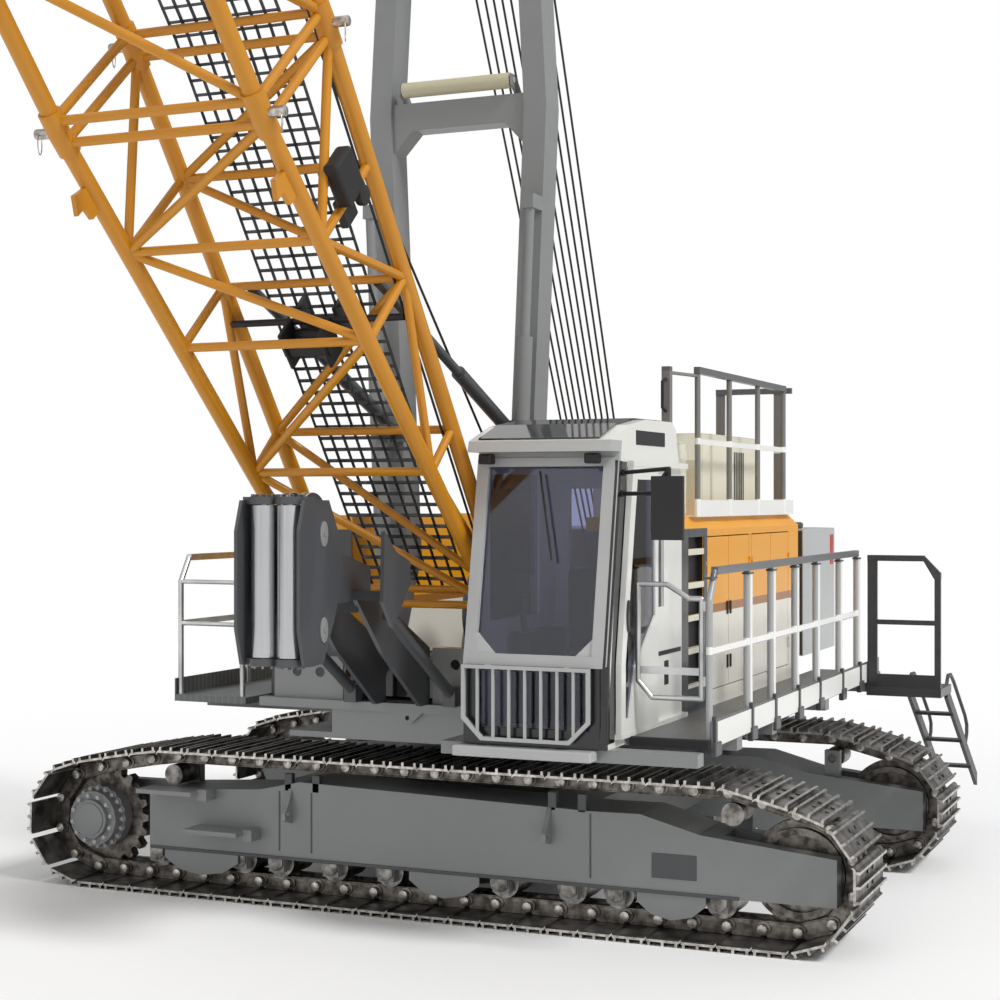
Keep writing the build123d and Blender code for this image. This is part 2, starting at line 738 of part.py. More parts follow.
with BuildPart() as cab_console:
    for s in (-1, 1):
        x = cab_middle + s * 330
        block(x - 70, x + 70, -1860, -1260, floor_z, 1960)
        add(rod((x, -1800, 1959), (x, -1820, 2090), 22))
save(cab_console.part, "cab_console")

GUARD_Y = CAB_FRONT - 60
GUARD_X0, GUARD_X1 = CAB_X0 + 10, CAB_X1 - 90
GUARD_Z0, GUARD_Z1 = SILL_Z + 30, SILL_GLASS - 15
GUARD_BARS = 7


def guard_outline(inset):
    cut = CORNER_CUT - 0.4 * inset
    x0, x1, z0, z1 = GUARD_X0 + inset, GUARD_X1 - inset, GUARD_Z0 + inset, GUARD_Z1 - inset
    return [(x0, z1), (x0, z0 + cut), (x0 + cut, z0), (x1 - cut, z0), (x1, z0 + cut), (x1, z1)]


with BuildPart() as cab_guard:
    front_plate(guard_outline(0), GUARD_Y, GUARD_Y + 24)
    front_plate(guard_outline(22), GUARD_Y, GUARD_Y + 24, Mode.SUBTRACT)
    for k in range(GUARD_BARS):
        share = (k + 1) / (GUARD_BARS + 1)
        x = GUARD_X0 + (GUARD_X1 - GUARD_X0) * share
        side_gap = min(x - GUARD_X0, GUARD_X1 - x)
        low = GUARD_Z0 + 10 + max(0, CORNER_CUT - side_gap)
        block(x - 8, x + 8, GUARD_Y + 4, GUARD_Y + 20, low, GUARD_Z1 - 10)
    for x in (GUARD_X0 + 160, GUARD_X1 - 160):
        for z in (GUARD_Z0 + 11, GUARD_Z1 - 11):
            block(x - 18, x + 18, GUARD_Y + 20, CAB_FRONT, z - 11, z + 11)
save(cab_guard.part, "cab_guard")

# Mirror on a bent tube from the top of the front pillar
MIRROR = (2050, -2330, 2770)
with BuildPart() as cab_mirror:
    x, y, z = MIRROR
    top = (x, y, z + 240)
    for root_z in (2860, 2990):
        root_y = CAB_FRONT + lean(root_z) + 60
        elbow = (x - 110, y, root_z) if root_z < top[2] - 60 else top
        block(CAB_X1, CAB_X1 + 22, root_y - 20, root_y + 20, root_z - 20, root_z + 20)
        add(rod((CAB_X1 + 14, root_y, root_z), elbow, 13))
        if elbow != top:
            add(rod(elbow, top, 13))
        add(Solid.make_sphere(13).moved(Location(elbow)))
    add(rod(top, (x, y, z - 60), 13))
    add(Solid.make_sphere(13).moved(Location(top)))
    block(x - 100, x + 100, y - 45, y - 10, z - 190, z + 195)
save(cab_mirror.part, "cab_mirror")

# Houses: the left one is hollow behind its doors, the right one is closed
house_side = [
    (HOUSE_X0, SILL_Z),
    (HOUSE_X1, SILL_Z),
    (HOUSE_X1, HOUSE_TOP - 90),
    (HOUSE_X1 - 90, HOUSE_TOP),
    (HOUSE_X0, HOUSE_TOP),
]
# each leaf: y of its two edges, y of its hinge, direction from the hinge into the leaf
leaves = []
leaf_width = (PAIR_PITCH - PAIR_POST - 3 * LEAF_GAP) / 2
for pair in range(LEAF_PAIRS):
    y = LEAF_START + pair * PAIR_PITCH + LEAF_GAP
    middle = y + leaf_width
    leaves.append((y, middle, y, 1))
    second = middle + LEAF_GAP
    leaves.append((second, second + leaf_width, second + leaf_width, -1))
KNUCKLE_ZS = (LEAF_Z0 + 180, LEAF_Z1 - 240)

with BuildPart() as house_left:
    front_plate(house_side, HOUSE_FRONT, HOUSE_BACK)
    block(
        HOUSE_X0 + HOUSE_WALL,
        HOUSE_X1 - HOUSE_WALL,
        HOUSE_FRONT + HOUSE_WALL,
        HOUSE_BACK - HOUSE_WALL,
        SILL_Z + HOUSE_WALL,
        HOUSE_TOP - 90,
        Mode.SUBTRACT,
    )
    for pair in range(LEAF_PAIRS):
        y = LEAF_START + pair * PAIR_PITCH
        block(
            HOUSE_X1 - HOUSE_WALL,
            HOUSE_X1 + 1,
            y,
            y + PAIR_PITCH - PAIR_POST,
            LEAF_Z0,
            LEAF_Z1,
            Mode.SUBTRACT,
        )
    # the frame's halves of the door hinges
    for y0, y1, hinge, into in leaves:
        for z in KNUCKLE_ZS:
            z0, z1 = z + KNUCKLE_HALF + RUN_GAP, z + 2 * KNUCKLE_HALF
            add(rod((KNUCKLE_X, hinge, z0), (KNUCKLE_X, hinge, z1), KNUCKLE))
            block(HOUSE_X1, KNUCKLE_X, hinge - into * 30, hinge, z0, z1)
    # tall air opening in front of the doors, with bars across it
    block(HOUSE_X1 - HOUSE_WALL, HOUSE_X1 + 1, -600, -250, 1520, 2600, Mode.SUBTRACT)
    for z in (1760, 1990, 2220, 2455):
        block(HOUSE_X1 - HOUSE_WALL, HOUSE_X1 - 10, -601, -249, z - 20, z + 20)
    # air housings on the roof
    for y0, y1, x1, top in ((-640, -40, 1425, 3230), (260, 1900, 1425, 3320)):
        side_plate(
            [(y0, HOUSE_TOP), (y1, HOUSE_TOP), (y1, top), (y0 + 120, top), (y0, top - 200)],
            HOUSE_X0,
            x1,
        )
save(house_left.part, "house_left")

for k, (y0, y1, hinge, into) in enumerate(leaves):
    with BuildPart() as leaf:
        block(HOUSE_X1 - HOUSE_WALL, HOUSE_X1, y0, y1, LEAF_Z0 + LEAF_GAP, LEAF_Z1 - LEAF_GAP)
        for z in KNUCKLE_ZS:
            z0, z1 = z - KNUCKLE_HALF, z + KNUCKLE_HALF
            add(rod((KNUCKLE_X, hinge, z0), (KNUCKLE_X, hinge, z1), KNUCKLE))
            block(HOUSE_X1, KNUCKLE_X, hinge, hinge + into * 20, z0, z1)
    save(leaf.part, f"house_door_{k + 1}")

with BuildPart() as house_right:
    front_plate([(-x, z) for x, z in house_side], HOUSE_FRONT, HOUSE_BACK)
save(house_right.part, "house_right")

with BuildPart() as engine_block:
    block(HOUSE_X0 + 90, HOUSE_X1 - 130, 100, 1500, SILL_Z + HOUSE_WALL, 2300)
save(engine_block.part, "engine_block")

# Walkways, railings, gate, stairs
with BuildPart() as walkway_left:
    block(CAB_X1 + 8, WALK_X, WALK_FRONT, WALK_BACK, SILL_Z, WALK_FLOOR)
    block(WALK_X - 8, WALK_X, WALK_FRONT, WALK_BACK, WALK_FLOOR, WALK_FLOOR + TOE_BOARD)
save(walkway_left.part, "walkway_left")

with BuildPart() as walkway_right:
    block(-WALK_X, -HOUSE_X1 - 8, RIGHT_WALK_FRONT, WALK_BACK, SILL_Z, WALK_FLOOR)
    block(-WALK_X, -WALK_X + 8, RIGHT_WALK_FRONT, WALK_BACK, WALK_FLOOR, WALK_FLOOR + TOE_BOARD)
save(walkway_right.part, "walkway_right")


def railing(x, ys, base):
    """Posts at ys, a flat middle rail and a box-section top rail whose front end slopes down."""
    front, back = ys[0], ys[-1]
    slope = front + 110
    bars = [rod((x, y, base), (x, y, RAIL_TOP - 20), TUBE) for y in ys[1:]]
    bars.append(rod((x, front, base), (x, front, RAIL_TOP - 180), TUBE))
    bars.append(rod((x, front, RAIL_TOP - 180), (x, slope, RAIL_TOP), TUBE))
    bars.append(Solid.make_sphere(TUBE).moved(Location((x, front, RAIL_TOP - 180))))
    for z, half, width in ((RAIL_MID, 22, 8), (RAIL_TOP, 24, 22)):
        start = front if z == RAIL_MID else slope
        bars.append(
            Solid.make_box(2 * width, back - start + TUBE, 2 * half).moved(
                Location((x - width, start, z - half))
            )
        )
    return bars


LEFT_POSTS = (WALK_FRONT + 40, -1230, -640, 10, 640, 1390, 2030)
with BuildPart() as railing_left:
    add(railing(RAIL_X, LEFT_POSTS, WALK_FLOOR))
save(railing_left.part, "railing_left")

with BuildPart() as railing_right:
    x, y = -RAIL_X, RIGHT_WALK_FRONT + 40
    add(railing(x, (y, -150, 800, 1760, 2700), WALK_FLOOR))
    # rail across the front of the right walkway
    for z in (RAIL_MID, RAIL_TOP - 180):
        add(rod((x, y, z), (-HOUSE_X1 - 60, y, z), TUBE * 0.8))
    add(rod((-HOUSE_X1 - 60, y, WALK_FLOOR), (-HOUSE_X1 - 60, y, RAIL_TOP - 180), TUBE))
save(railing_right.part, "railing_right")

gate_y = WALK_FRONT + 40
GATE_Z0, GATE_Z1 = 1600, 2300
with BuildPart() as gate:
    x0, x1 = CAB_X1 + 70, RAIL_X - 2 * TUBE - 8
    # tube frame: one upper and one lower corner cut off
    corners = [
        (x0 + 90, gate_y, GATE_Z0),
        (x1, gate_y, GATE_Z0),
        (x1, gate_y, GATE_Z1 - 85),
        (x1 - 80, gate_y, GATE_Z1 - 85),
        (x1 - 220, gate_y, GATE_Z1),
        (x0, gate_y, GATE_Z1),
        (x0, gate_y, GATE_Z0 + 100),
    ]
    for a, b in zip(corners, corners[1:] + corners[:1]):
        add(rod(a, b, TUBE * 0.8))
        add(Solid.make_sphere(TUBE * 0.8).moved(Location(a)))
    block(x0, x1, gate_y - 8, gate_y + 8, GATE_Z0 + 145, GATE_Z0 + 190)
    for z in (GATE_Z0 + 110, GATE_Z1 - 130):
        block(x1, RAIL_X - TUBE - RUN_GAP, gate_y - 10, gate_y + 10, z - 30, z + 30)
save(gate.part, "gate")

LANDING_Y = (2300, WALK_BACK)
LANDING_X = 2860
LANDING_Z = 1270
LANDING_TOP = 2340
with BuildPart() as stair_platform:
    block(WALK_X, LANDING_X, *LANDING_Y, LANDING_Z - 70, LANDING_Z)
    block(WALK_X, WALK_X + 12, *LANDING_Y, LANDING_Z - 70, WALK_FLOOR)
    # rail across the front of the landing, with its outer corner cut off
    y = LANDING_Y[0] + 30
    inner_x, outer_x = WALK_X + 45, LANDING_X - 30
    block(inner_x - 40, inner_x + 40, y - 15, y + 15, LANDING_Z, LANDING_TOP)
    block(outer_x - 25, outer_x + 25, y - 15, y + 15, LANDING_Z, LANDING_TOP - 140)
    block(inner_x - 40, outer_x - 110, y - 22, y + 22, LANDING_TOP - 24, LANDING_TOP + 24)
    block(inner_x, outer_x, y - 10, y + 10, 1790, 1830)
    block(inner_x, outer_x, y - 8, y + 8, LANDING_Z, LANDING_Z + 110)
    front_plate(
        [
            (outer_x - 112, LANDING_TOP - 24),
            (outer_x - 112, LANDING_TOP + 24),
            (outer_x + 26, LANDING_TOP - 120),
            (outer_x + 26, LANDING_TOP - 170),
            (outer_x - 26, LANDING_TOP - 170),
        ],
        y - 22,
        y + 22,
    )
save(stair_platform.part, "stair_platform")

# Ladder down behind the landing: two stringers that lean out a little, and three treads
LADDER_XS = (2490, 2800)
LADDER_DROP = (120, 800, -840)  # from top to foot, x, y and z
with BuildPart() as ladder:
    dx, dy, dz = LADDER_DROP
    y, z = LANDING_Y[1], LANDING_Z - 10
    for x in LADDER_XS:
        with BuildSketch(Plane.XZ.offset(-y)) as top_end:
            with Locations((x + 15, z - 55)):
                Rectangle(30, 110)
        with BuildSketch(Plane.XZ.offset(-y - dy)) as foot_end:
            with Locations((x + 15 + dx, z - 55 + dz)):
                Rectangle(30, 110)
        loft([top_end.sketch.face(), foot_end.sketch.face()])
    for share in (0.25, 0.55, 0.85):
        x0, x1 = LADDER_XS[0] + dx * share + 10, LADDER_XS[1] + dx * share + 20
        mid_y, mid_z = y + dy * share, z - 55 + dz * share
        block(x0, x1, mid_y - 60, mid_y + 60, mid_z - 12, mid_z + 12)
save(ladder.part, "ladder")

ROOF_RAIL_X = 1585
ROOF_RAIL_YS = (-260, 540, 1340, 2140)
ROOF_RAIL_ZS = (3240, 3750)
ROOF_POST = (1500, -700)
REAR_RAIL_Y = 2420
with BuildPart() as roof_rails:
    for y in ROOF_RAIL_YS:
        block(HOUSE_X1 - 190, ROOF_RAIL_X + TUBE, y - 40, y + 40, HOUSE_TOP, HOUSE_TOP + 12)
        add(rod((ROOF_RAIL_X, y, HOUSE_TOP), (ROOF_RAIL_X, y, ROOF_RAIL_ZS[-1]), TUBE))
    y0, y1 = ROOF_RAIL_YS[0], ROOF_RAIL_YS[-1]
    for z, half, width in ((ROOF_RAIL_ZS[0], 20, 8), (ROOF_RAIL_ZS[1], 24, 22)):
        block(ROOF_RAIL_X - width, ROOF_RAIL_X + width, y0 - TUBE, y1 + TUBE, z - half, z + half)
    # toe board, front post and the rail across the rear end
    block(ROOF_RAIL_X + 5, ROOF_RAIL_X + 15, y0 - 60, REAR_RAIL_Y, HOUSE_TOP, HOUSE_TOP + TOE_BOARD)
    x, y = ROOF_POST
    top = ROOF_RAIL_ZS[-1]
    block(x - 30, x + 30, y - 30, y + 30, HOUSE_TOP, top)
    add(rod((x, y, top - 40), (ROOF_RAIL_X, y0, top - 40), TUBE * 0.6))
    for x in (960, 1470):
        block(x - 38, x + 38, REAR_RAIL_Y - 15, REAR_RAIL_Y + 15, HOUSE_TOP, top)
    block(922, ROOF_RAIL_X, REAR_RAIL_Y - 22, REAR_RAIL_Y + 22, top - 24, top + 24)
    block(922, ROOF_RAIL_X + 15, REAR_RAIL_Y - 8, REAR_RAIL_Y + 8, HOUSE_TOP, HOUSE_TOP + TOE_BOARD)
save(roof_rails.part, "roof_rails")

# Winches
with BuildPart() as winch_frame:
    for name, y, z, radius in DRUMS:
        for s in (-1, 1):
            x0, x1 = sorted((s * WINCH_X, s * (WINCH_X + WINCH_PLATE)))
            side_plate(
                [
                    (y - radius - 60, DECK_TOP),
                    (y + radius + 60, DECK_TOP),
                    (y + 130, z + 150),
                    (y - 130, z + 150),
                ],
                x0,
                x1,
            )
save(winch_frame.part, "winch_frame")

for name, y, z, radius in DRUMS:
    with BuildPart() as drum:
        x = WINCH_X - RUN_GAP
        add(rope_drum(-x + 26, x - 26, y, z, radius, radius + FLANGE, FLANGE_THICK))
        add(disc_x(-x, x, y, z, 90))
    save(drum.part, name)

# Fairlead: two upright guide rollers in a yoke on an arm
cheek_x = GUIDE_X + GUIDE_RADIUS + 28  # inner face of the yoke's side plates
CHEEK = 22
ARM_HALF = 150
SICKLE_X = 400
GUIDE_SHEAVE = (-3195, 2700, 165)  # y, z and radius
with BuildPart() as fairlead_frame:
    # yoke: two six-sided plates, and at each end of the rollers a cap of two joined rounds
    for s in (-1, 1):
        x0, x1 = sorted((s * cheek_x, s * (cheek_x + CHEEK)))
        side_plate(
            [
                (GUIDE_Y - 70, GUIDE_Z0 - 45),
                (GUIDE_Y + 150, GUIDE_Z0 - 45),
                (GUIDE_Y + 300, 2130),
                (GUIDE_Y + 400, 2380),
                (GUIDE_Y + 360, 2590),
                (GUIDE_Y + 220, GUIDE_Z1 + 30),
                (GUIDE_Y - 70, GUIDE_Z1 + 30),
                (GUIDE_Y - 130, 2640),
                (GUIDE_Y - 130, 2060),
            ],
            x0,
            x1,
        )
        x0, x1 = sorted((s * SICKLE_X, s * (SICKLE_X + 25)))
        side_plate(
            [
                (-2920, 2200),
                (-2900, 2630),
                (-2740, 2500),
                (-2560, 2440),
                (-2540, 2300),
                (-2680, 2150),
                (-2790, 2040),
            ],
            x0,
            x1,
        )
        x = s * (SICKLE_X - 30)
        add(rod((x, -2760, 2110), (x, DECK_FRONT - 20, 1500), 38))
        block(min(x, s * SICKLE_X), max(x, s * SICKLE_X), -2790, -2730, 2090, 2140)
        block(x - 45, x + 45, DECK_FRONT - 110, DECK_FRONT, DECK_TOP, DECK_TOP + 120)
    for z0, z1 in ((GUIDE_Z0 - 50, GUIDE_Z0 - 6), (GUIDE_Z1 + 6, GUIDE_Z1 + 50)):
        for x in (-GUIDE_X, GUIDE_X):
            add(rod((x, GUIDE_Y, z0), (x, GUIDE_Y, z1), GUIDE_RADIUS + 14))
        block(-cheek_x - CHEEK, cheek_x + CHEEK, GUIDE_Y - 30, GUIDE_Y + 60, z0, z1)
    # sheaves behind the rollers
    y, z, radius = GUIDE_SHEAVE
    add(disc_x(-cheek_x, cheek_x, y, z, 35))
    for x in (-65, 65):
        add(disc_x(x - 30, x + 30, y, z, radius))
    # arm, and the two plates that carry it down to the deck
    back = [(GUIDE_Y + 330, 2190), (-2560, 2190), (-2560, 2400), (GUIDE_Y + 330, 2540)]
    block(-cheek_x, cheek_x, GUIDE_Y + 300, GUIDE_Y + 330, 2150, 2560)
    side_plate(back, -ARM_HALF, ARM_HALF)
    for s in (-1, 1):
        x0, x1 = sorted((s * ARM_HALF, s * (ARM_HALF + 30)))
        side_plate(
            [
                (-2800, 2200),
                (-2500, 2200),
                (DECK_FRONT, 1830),
                (DECK_FRONT, DECK_TOP),
                (-1900, DECK_TOP),
                (-2450, 1850),
            ],
            x0,
            x1,
        )
        block(*sorted((s * 100, s * (SICKLE_X + 1))), -2800, -2740, 2200, 2260)
    block(-ARM_HALF, ARM_HALF, -2760, -2700, 2120, 2200)
save(fairlead_frame.part, "fairlead_frame")

for side, x in (("right", -GUIDE_X), ("left", GUIDE_X)):
    with BuildPart() as guide:
        add(rod((x, GUIDE_Y, GUIDE_Z0), (x, GUIDE_Y, GUIDE_Z1), GUIDE_RADIUS))
        add(rod((x, GUIDE_Y, GUIDE_Z0 - 5.7), (x, GUIDE_Y, GUIDE_Z1 + 5.7), 30))
    save(guide.part, f"fairlead_roller_{side}")

# Boom foot: plates at the hinge, chords that spread to the full depth, bracing
def foot_depth(s):
    return BOOM_DEPTH * s / FOOT_LENGTH


SLEEVE = 130  # length of the thick chord ends at the sections' joints
SLEEVE_RADIUS = 64


def connectors(s0, s1, depth_at, half_at):
    """The thick ends of the four chords."""
    ends = []
    for x in (-1, 1):
        for n in (-1, 1):
            a = (x * half_at(s0), n * depth_at(s0), s0)
            b = (x * half_at(s1), n * depth_at(s1), s1)
            ends.append(rod(a, b, SLEEVE_RADIUS))
    return ends


START = LUG_LENGTH - 60
chords = []
for x in (-BOOM_HALF, BOOM_HALF):
    for n in (-1, 1):
        a = (x, n * (foot_depth(START) + 20), START)
        b = (x, n * foot_depth(FOOT_LENGTH + 20), FOOT_LENGTH + 20)
        chords.append(rod(a, b, CHORD_RADIUS))
# stations along the foot, where frames of cross tubes stand
FOOT_STATIONS = (740, 2050, 3150, 3900, FOOT_LENGTH - 70)
for k, s in enumerate(FOOT_STATIONS):
    n = foot_depth(s)
    for face in (-1, 1):
        chords.append(rod((-BOOM_HALF, face * n, s), (BOOM_HALF, face * n, s), BRACE_RADIUS))
    for x in (-BOOM_HALF, BOOM_HALF):
        if s > 1500:
            chords.append(rod((x, -n, s), (x, n, s), BRACE_RADIUS))
for k in range(len(FOOT_STATIONS) - 1):
    s0, s1 = FOOT_STATIONS[k], FOOT_STATIONS[k + 1]
    turn = 1 if k % 2 else -1
    for x in (-BOOM_HALF, BOOM_HALF):
        a, b = (x, -turn * foot_depth(s0), s0), (x, turn * foot_depth(s1), s1)
        chords.append(rod(a, b, BRACE_RADIUS))
    for face in (-1, 1):
        a = (-turn * BOOM_HALF, face * foot_depth(s0), s0)
        b = (turn * BOOM_HALF, face * foot_depth(s1), s1)
        chords.append(rod(a, b, BRACE_RADIUS))
with BuildPart(BOOM) as boom_foot:
    add(chords)
    for x in (-BOOM_HALF, BOOM_HALF):
        plate(
            boom_side(x - LUG_WIDTH / 2),
            [
                (-LUG_RADIUS, 0),
                (LUG_RADIUS, 0),
                (foot_depth(LUG_LENGTH) + 75, LUG_LENGTH),
                (-foot_depth(LUG_LENGTH) - 75, LUG_LENGTH),
            ],
            LUG_WIDTH,
        )
        a, b = (x - LUG_WIDTH / 2, 0, 0), (x + LUG_WIDTH / 2, 0, 0)
        add(rod(a, b, LUG_RADIUS))
        add(rod(a, b, HINGE_PIN + RUN_GAP), mode=Mode.SUBTRACT)
    add(connectors(FOOT_LENGTH - SLEEVE, FOOT_LENGTH + 20, foot_depth, lambda s: BOOM_HALF))
    block(-900, 900, -900, 900, FOOT_LENGTH, FOOT_LENGTH + 200, Mode.SUBTRACT)
    # hooks under the lower chords, short of the joint
    for x in (-BOOM_HALF, BOOM_HALF):
        plate(
            boom_side(x - 15),
            [(-440, 4240), (-440, 4400), (-590, 4430), (-640, 4330), (-560, 4330), (-540, 4240)],
            30,
        )
save(boom_foot.part, "boom_foot")


def lattice(start, end, bays, depth_at, half_at):
    """Four chords from start to end with crossing braces on each face."""
    tubes = []
    for x in (-1, 1):
        for n in (-1, 1):
            a = (x * half_at(start), n * depth_at(start), start)
            b = (x * half_at(end), n * depth_at(end), end)
            tubes.append(rod(a, b, CHORD_RADIUS))
    margin = 70
    step = (end - start - 2 * margin) / bays
    for k in range(bays + 1):
        s = start + margin + k * step
        w, d = half_at(s), depth_at(s)
        for n in (-1, 1):
            tubes.append(rod((-w, n * d, s), (w, n * d, s), BRACE_RADIUS))
        if k in (0, bays):
            for x in (-1, 1):
                tubes.append(rod((x * w, -d, s), (x * w, d, s), BRACE_RADIUS))
        if k == bays:
            continue
        turn = 1 if k % 2 else -1
        w1, d1 = half_at(s + step), depth_at(s + step)
        for x in (-1, 1):
            a, b = (x * w, -turn * d, s), (x * w1, turn * d1, s + step)
            tubes.append(rod(a, b, BRACE_RADIUS))
        for n in (-1, 1):
            a, b = (-turn * w, n * d, s), (turn * w1, n * d1, s + step)
            tubes.append(rod(a, b, BRACE_RADIUS))
    return tubes


INSERT_END = FOOT_LENGTH + INSERT_LENGTH
with BuildPart(BOOM) as boom_insert:
    add(lattice(FOOT_LENGTH, INSERT_END, 3, lambda s: BOOM_DEPTH, lambda s: BOOM_HALF))
    for s in (FOOT_LENGTH, INSERT_END - SLEEVE):
        add(connectors(s, s + SLEEVE, lambda s: BOOM_DEPTH, lambda s: BOOM_HALF))
save(boom_insert.part, "boom_insert")

TIP_DEPTH = 260
TIP_HALF = 330
BOX_START = BOOM_LENGTH - 700


def head_depth(s):
    return BOOM_DEPTH + (TIP_DEPTH - BOOM_DEPTH) * (s - INSERT_END) / HEAD_LENGTH


def head_half(s):
    return BOOM_HALF + (TIP_HALF - BOOM_HALF) * (s - INSERT_END) / HEAD_LENGTH


cheek = TIP_HALF + 60
STAY_N, STAY_S = 250, BOOM_LENGTH - 60  # pin of the stays at the boom's head
with BuildPart(BOOM) as boom_head:
    add(
        lattice(INSERT_END - 20, BOX_START + 45, 4, head_depth, head_half)
        + connectors(INSERT_END - 20, INSERT_END + SLEEVE, head_depth, head_half)
    )
    block(-900, 900, -900, 900, INSERT_END - 300, INSERT_END, Mode.SUBTRACT)
    for x in (-1, 1):
        plate(
            boom_side(x * (cheek + 20) - 20),
            [
                (-head_depth(BOX_START) - 60, BOX_START),
                (head_depth(BOX_START) + 60, BOX_START),
                (330, BOOM_LENGTH - 150),
                (180, BOOM_LENGTH + 260),
                (-180, BOOM_LENGTH + 260),
                (-330, BOOM_LENGTH - 100),
            ],
            40,
        )
    for n in (-1, 1):
        add(rod((-cheek, n * 200, BOX_START + 120), (cheek, n * 200, BOX_START + 120), 60))
    add(rod((-cheek, 0, BOOM_LENGTH), (cheek, 0, BOOM_LENGTH), 50 - RUN_GAP))
    for x in (-1, 1):
        a = (x * (cheek + 20), STAY_N, STAY_S)
        b = (x * (MAST_TOP[0] + 70), STAY_N, STAY_S)
        add(rod(a, b, 30 - RUN_GAP))
save(boom_head.part, "boom_head")

with BuildPart(BOOM) as boom_sheaves:
    for k in range(4):
        x = -225 + k * 150
        add(rod((x - 25, 0, BOOM_LENGTH), (x + 25, 0, BOOM_LENGTH), SHEAVE_RADIUS))
    add(rod((-cheek + 10, 0, BOOM_LENGTH), (cheek - 10, 0, BOOM_LENGTH), 90))
    add(rod((-cheek, 0, BOOM_LENGTH), (cheek, 0, BOOM_LENGTH), 50), mode=Mode.SUBTRACT)
save(boom_sheaves.part, "boom_sheaves")

GRATE_LIFT = BRACE_RADIUS + 0.3
GRATE_THICK = 30
GRATE_HALF = 360
GRATE_END = INSERT_END + 3500  # where the head gets too narrow for it
grate_line = [
    (foot_depth(700), 700),
    (BOOM_DEPTH, FOOT_LENGTH),
    (BOOM_DEPTH, INSERT_END),
    (head_depth(GRATE_END), GRATE_END),
]
with BuildPart(BOOM) as boom_walkway:
    plate(
        boom_side(-GRATE_HALF),
        [(n + GRATE_LIFT, s) for n, s in grate_line]
        + [(n + GRATE_LIFT + GRATE_THICK, s) for n, s in reversed(grate_line)],
        2 * GRATE_HALF,
    )
save(boom_walkway.part, "boom_walkway")

# A-frame: two legs, head with sheaves, cross beam with rope roller, jacks, backstops
LEG_BACK = LEG_FRONT + LEG_DEPTH
for side, s in (("right", -1), ("left", 1)):
    with BuildPart() as leg:
        foot_x = s * MAST_FOOT_X
        x0, x1 = foot_x - MAST_LUG / 2, foot_x + MAST_LUG / 2
        side_plate(
            [
                (HINGE_Y - 100, HINGE_Z),
                (HINGE_Y + 110, HINGE_Z - 60),
                (LEG_BACK, MAST_START_Z),
                (LEG_FRONT, MAST_START_Z),
            ],
            x0,
            x1,
        )
        add(disc_x(x0, x1, HINGE_Y, HINGE_Z, LUG_RADIUS))
        add(disc_x(x0, x1, HINGE_Y, HINGE_Z, HINGE_PIN + RUN_GAP), mode=Mode.SUBTRACT)
        half_leg = LEG_WIDTH / 2
        knee_x, knee_z = MAST_KNEE
        top_x, top_z = MAST_TOP
        front_plate(
            [
                (s * (MAST_FOOT_X - half_leg), MAST_START_Z),
                (s * (MAST_FOOT_X + half_leg), MAST_START_Z),
                (s * (knee_x + half_leg), knee_z),
                (s * (top_x + half_leg), top_z),
                (s * (top_x - half_leg), top_z),
                (s * (knee_x - half_leg), knee_z),
            ],
            LEG_FRONT,
            LEG_BACK,
        )
    save(leg.part, f"mast_leg_{side}")

leg_middle = (LEG_FRONT + LEG_BACK) / 2


def leg_x(z):
    """Centre of a leg at a height."""
    low, high = (MAST_FOOT_X, MAST_START_Z), MAST_KNEE
    if z > MAST_KNEE[1]:
        low, high = MAST_KNEE, MAST_TOP
    return low[0] + (high[0] - low[0]) * (z - low[1]) / (high[1] - low[1])


def leg_inside(z):
    return leg_x(z) - LEG_WIDTH / 2


with BuildPart() as mast_beam:
    z = MAST_KNEE[1]
    low, under, over = z - 260, z - MAST_BEAM / 2, z + MAST_BEAM / 2
    half_beam = [
        (leg_inside(over), over),
        (leg_inside(z), z),
        (leg_inside(low), low),
        (leg_inside(z) - 160, under),
    ]
    front_plate(
        half_beam + [(-x, z) for x, z in reversed(half_beam)],
        leg_middle - 90,
        leg_middle + 90,
    )
save(mast_beam.part, "mast_beam")

with BuildPart() as mast_head:
    z = MAST_TOP[1]
    half_head = [
        (leg_inside(z), z),
        (leg_inside(z - 260), z - 260),
        (leg_inside(z) - 120, z - 160),
    ]
    front_plate(
        half_head + [(-x, z) for x, z in reversed(half_head)],
        leg_middle - 90,
        leg_middle + 90,
    )
    block(-leg_x(z), leg_x(z), leg_middle - 90, leg_middle + 90, z, z + 30)
    for s in (-1, 1):
        x0, x1 = sorted((s * (MAST_TOP[0] - 20), s * (MAST_TOP[0] + 20)))
        side_plate(
            [
                (LEG_FRONT, z),
                (LEG_BACK, z),
                (leg_middle + 100, z + 360),
                (leg_middle - 100, z + 360),
            ],
            x0,
            x1,
        )
    add(disc_x(-MAST_TOP[0] - 70, MAST_TOP[0] + 70, leg_middle, z + 240, 50 - RUN_GAP))
save(mast_head.part, "mast_head")

with BuildPart() as mast_sheaves:
    y, z = leg_middle, MAST_TOP[1] + 240
    reach = MAST_TOP[0] - 30
    add(disc_x(-reach, reach, y, z, 80))
    for k in range(5):
        x = (k - 2) * 150
        add(disc_x(x - SHEAVE_WIDTH / 2, x + SHEAVE_WIDTH / 2, y, z, 200))
    add(disc_x(-reach, reach, y, z, 50), mode=Mode.SUBTRACT)
save(mast_sheaves.part, "mast_sheaves")

ROLLER_Y = LEG_FRONT + 10
ROLLER_Z = MAST_KNEE[1] + MAST_BEAM / 2 + 90
with BuildPart() as mast_roller:
    add(disc_x(-420, 420, ROLLER_Y, ROLLER_Z, 55))
    add(disc_x(-450, 450, ROLLER_Y, ROLLER_Z, 20))
save(mast_roller.part, "mast_roller")

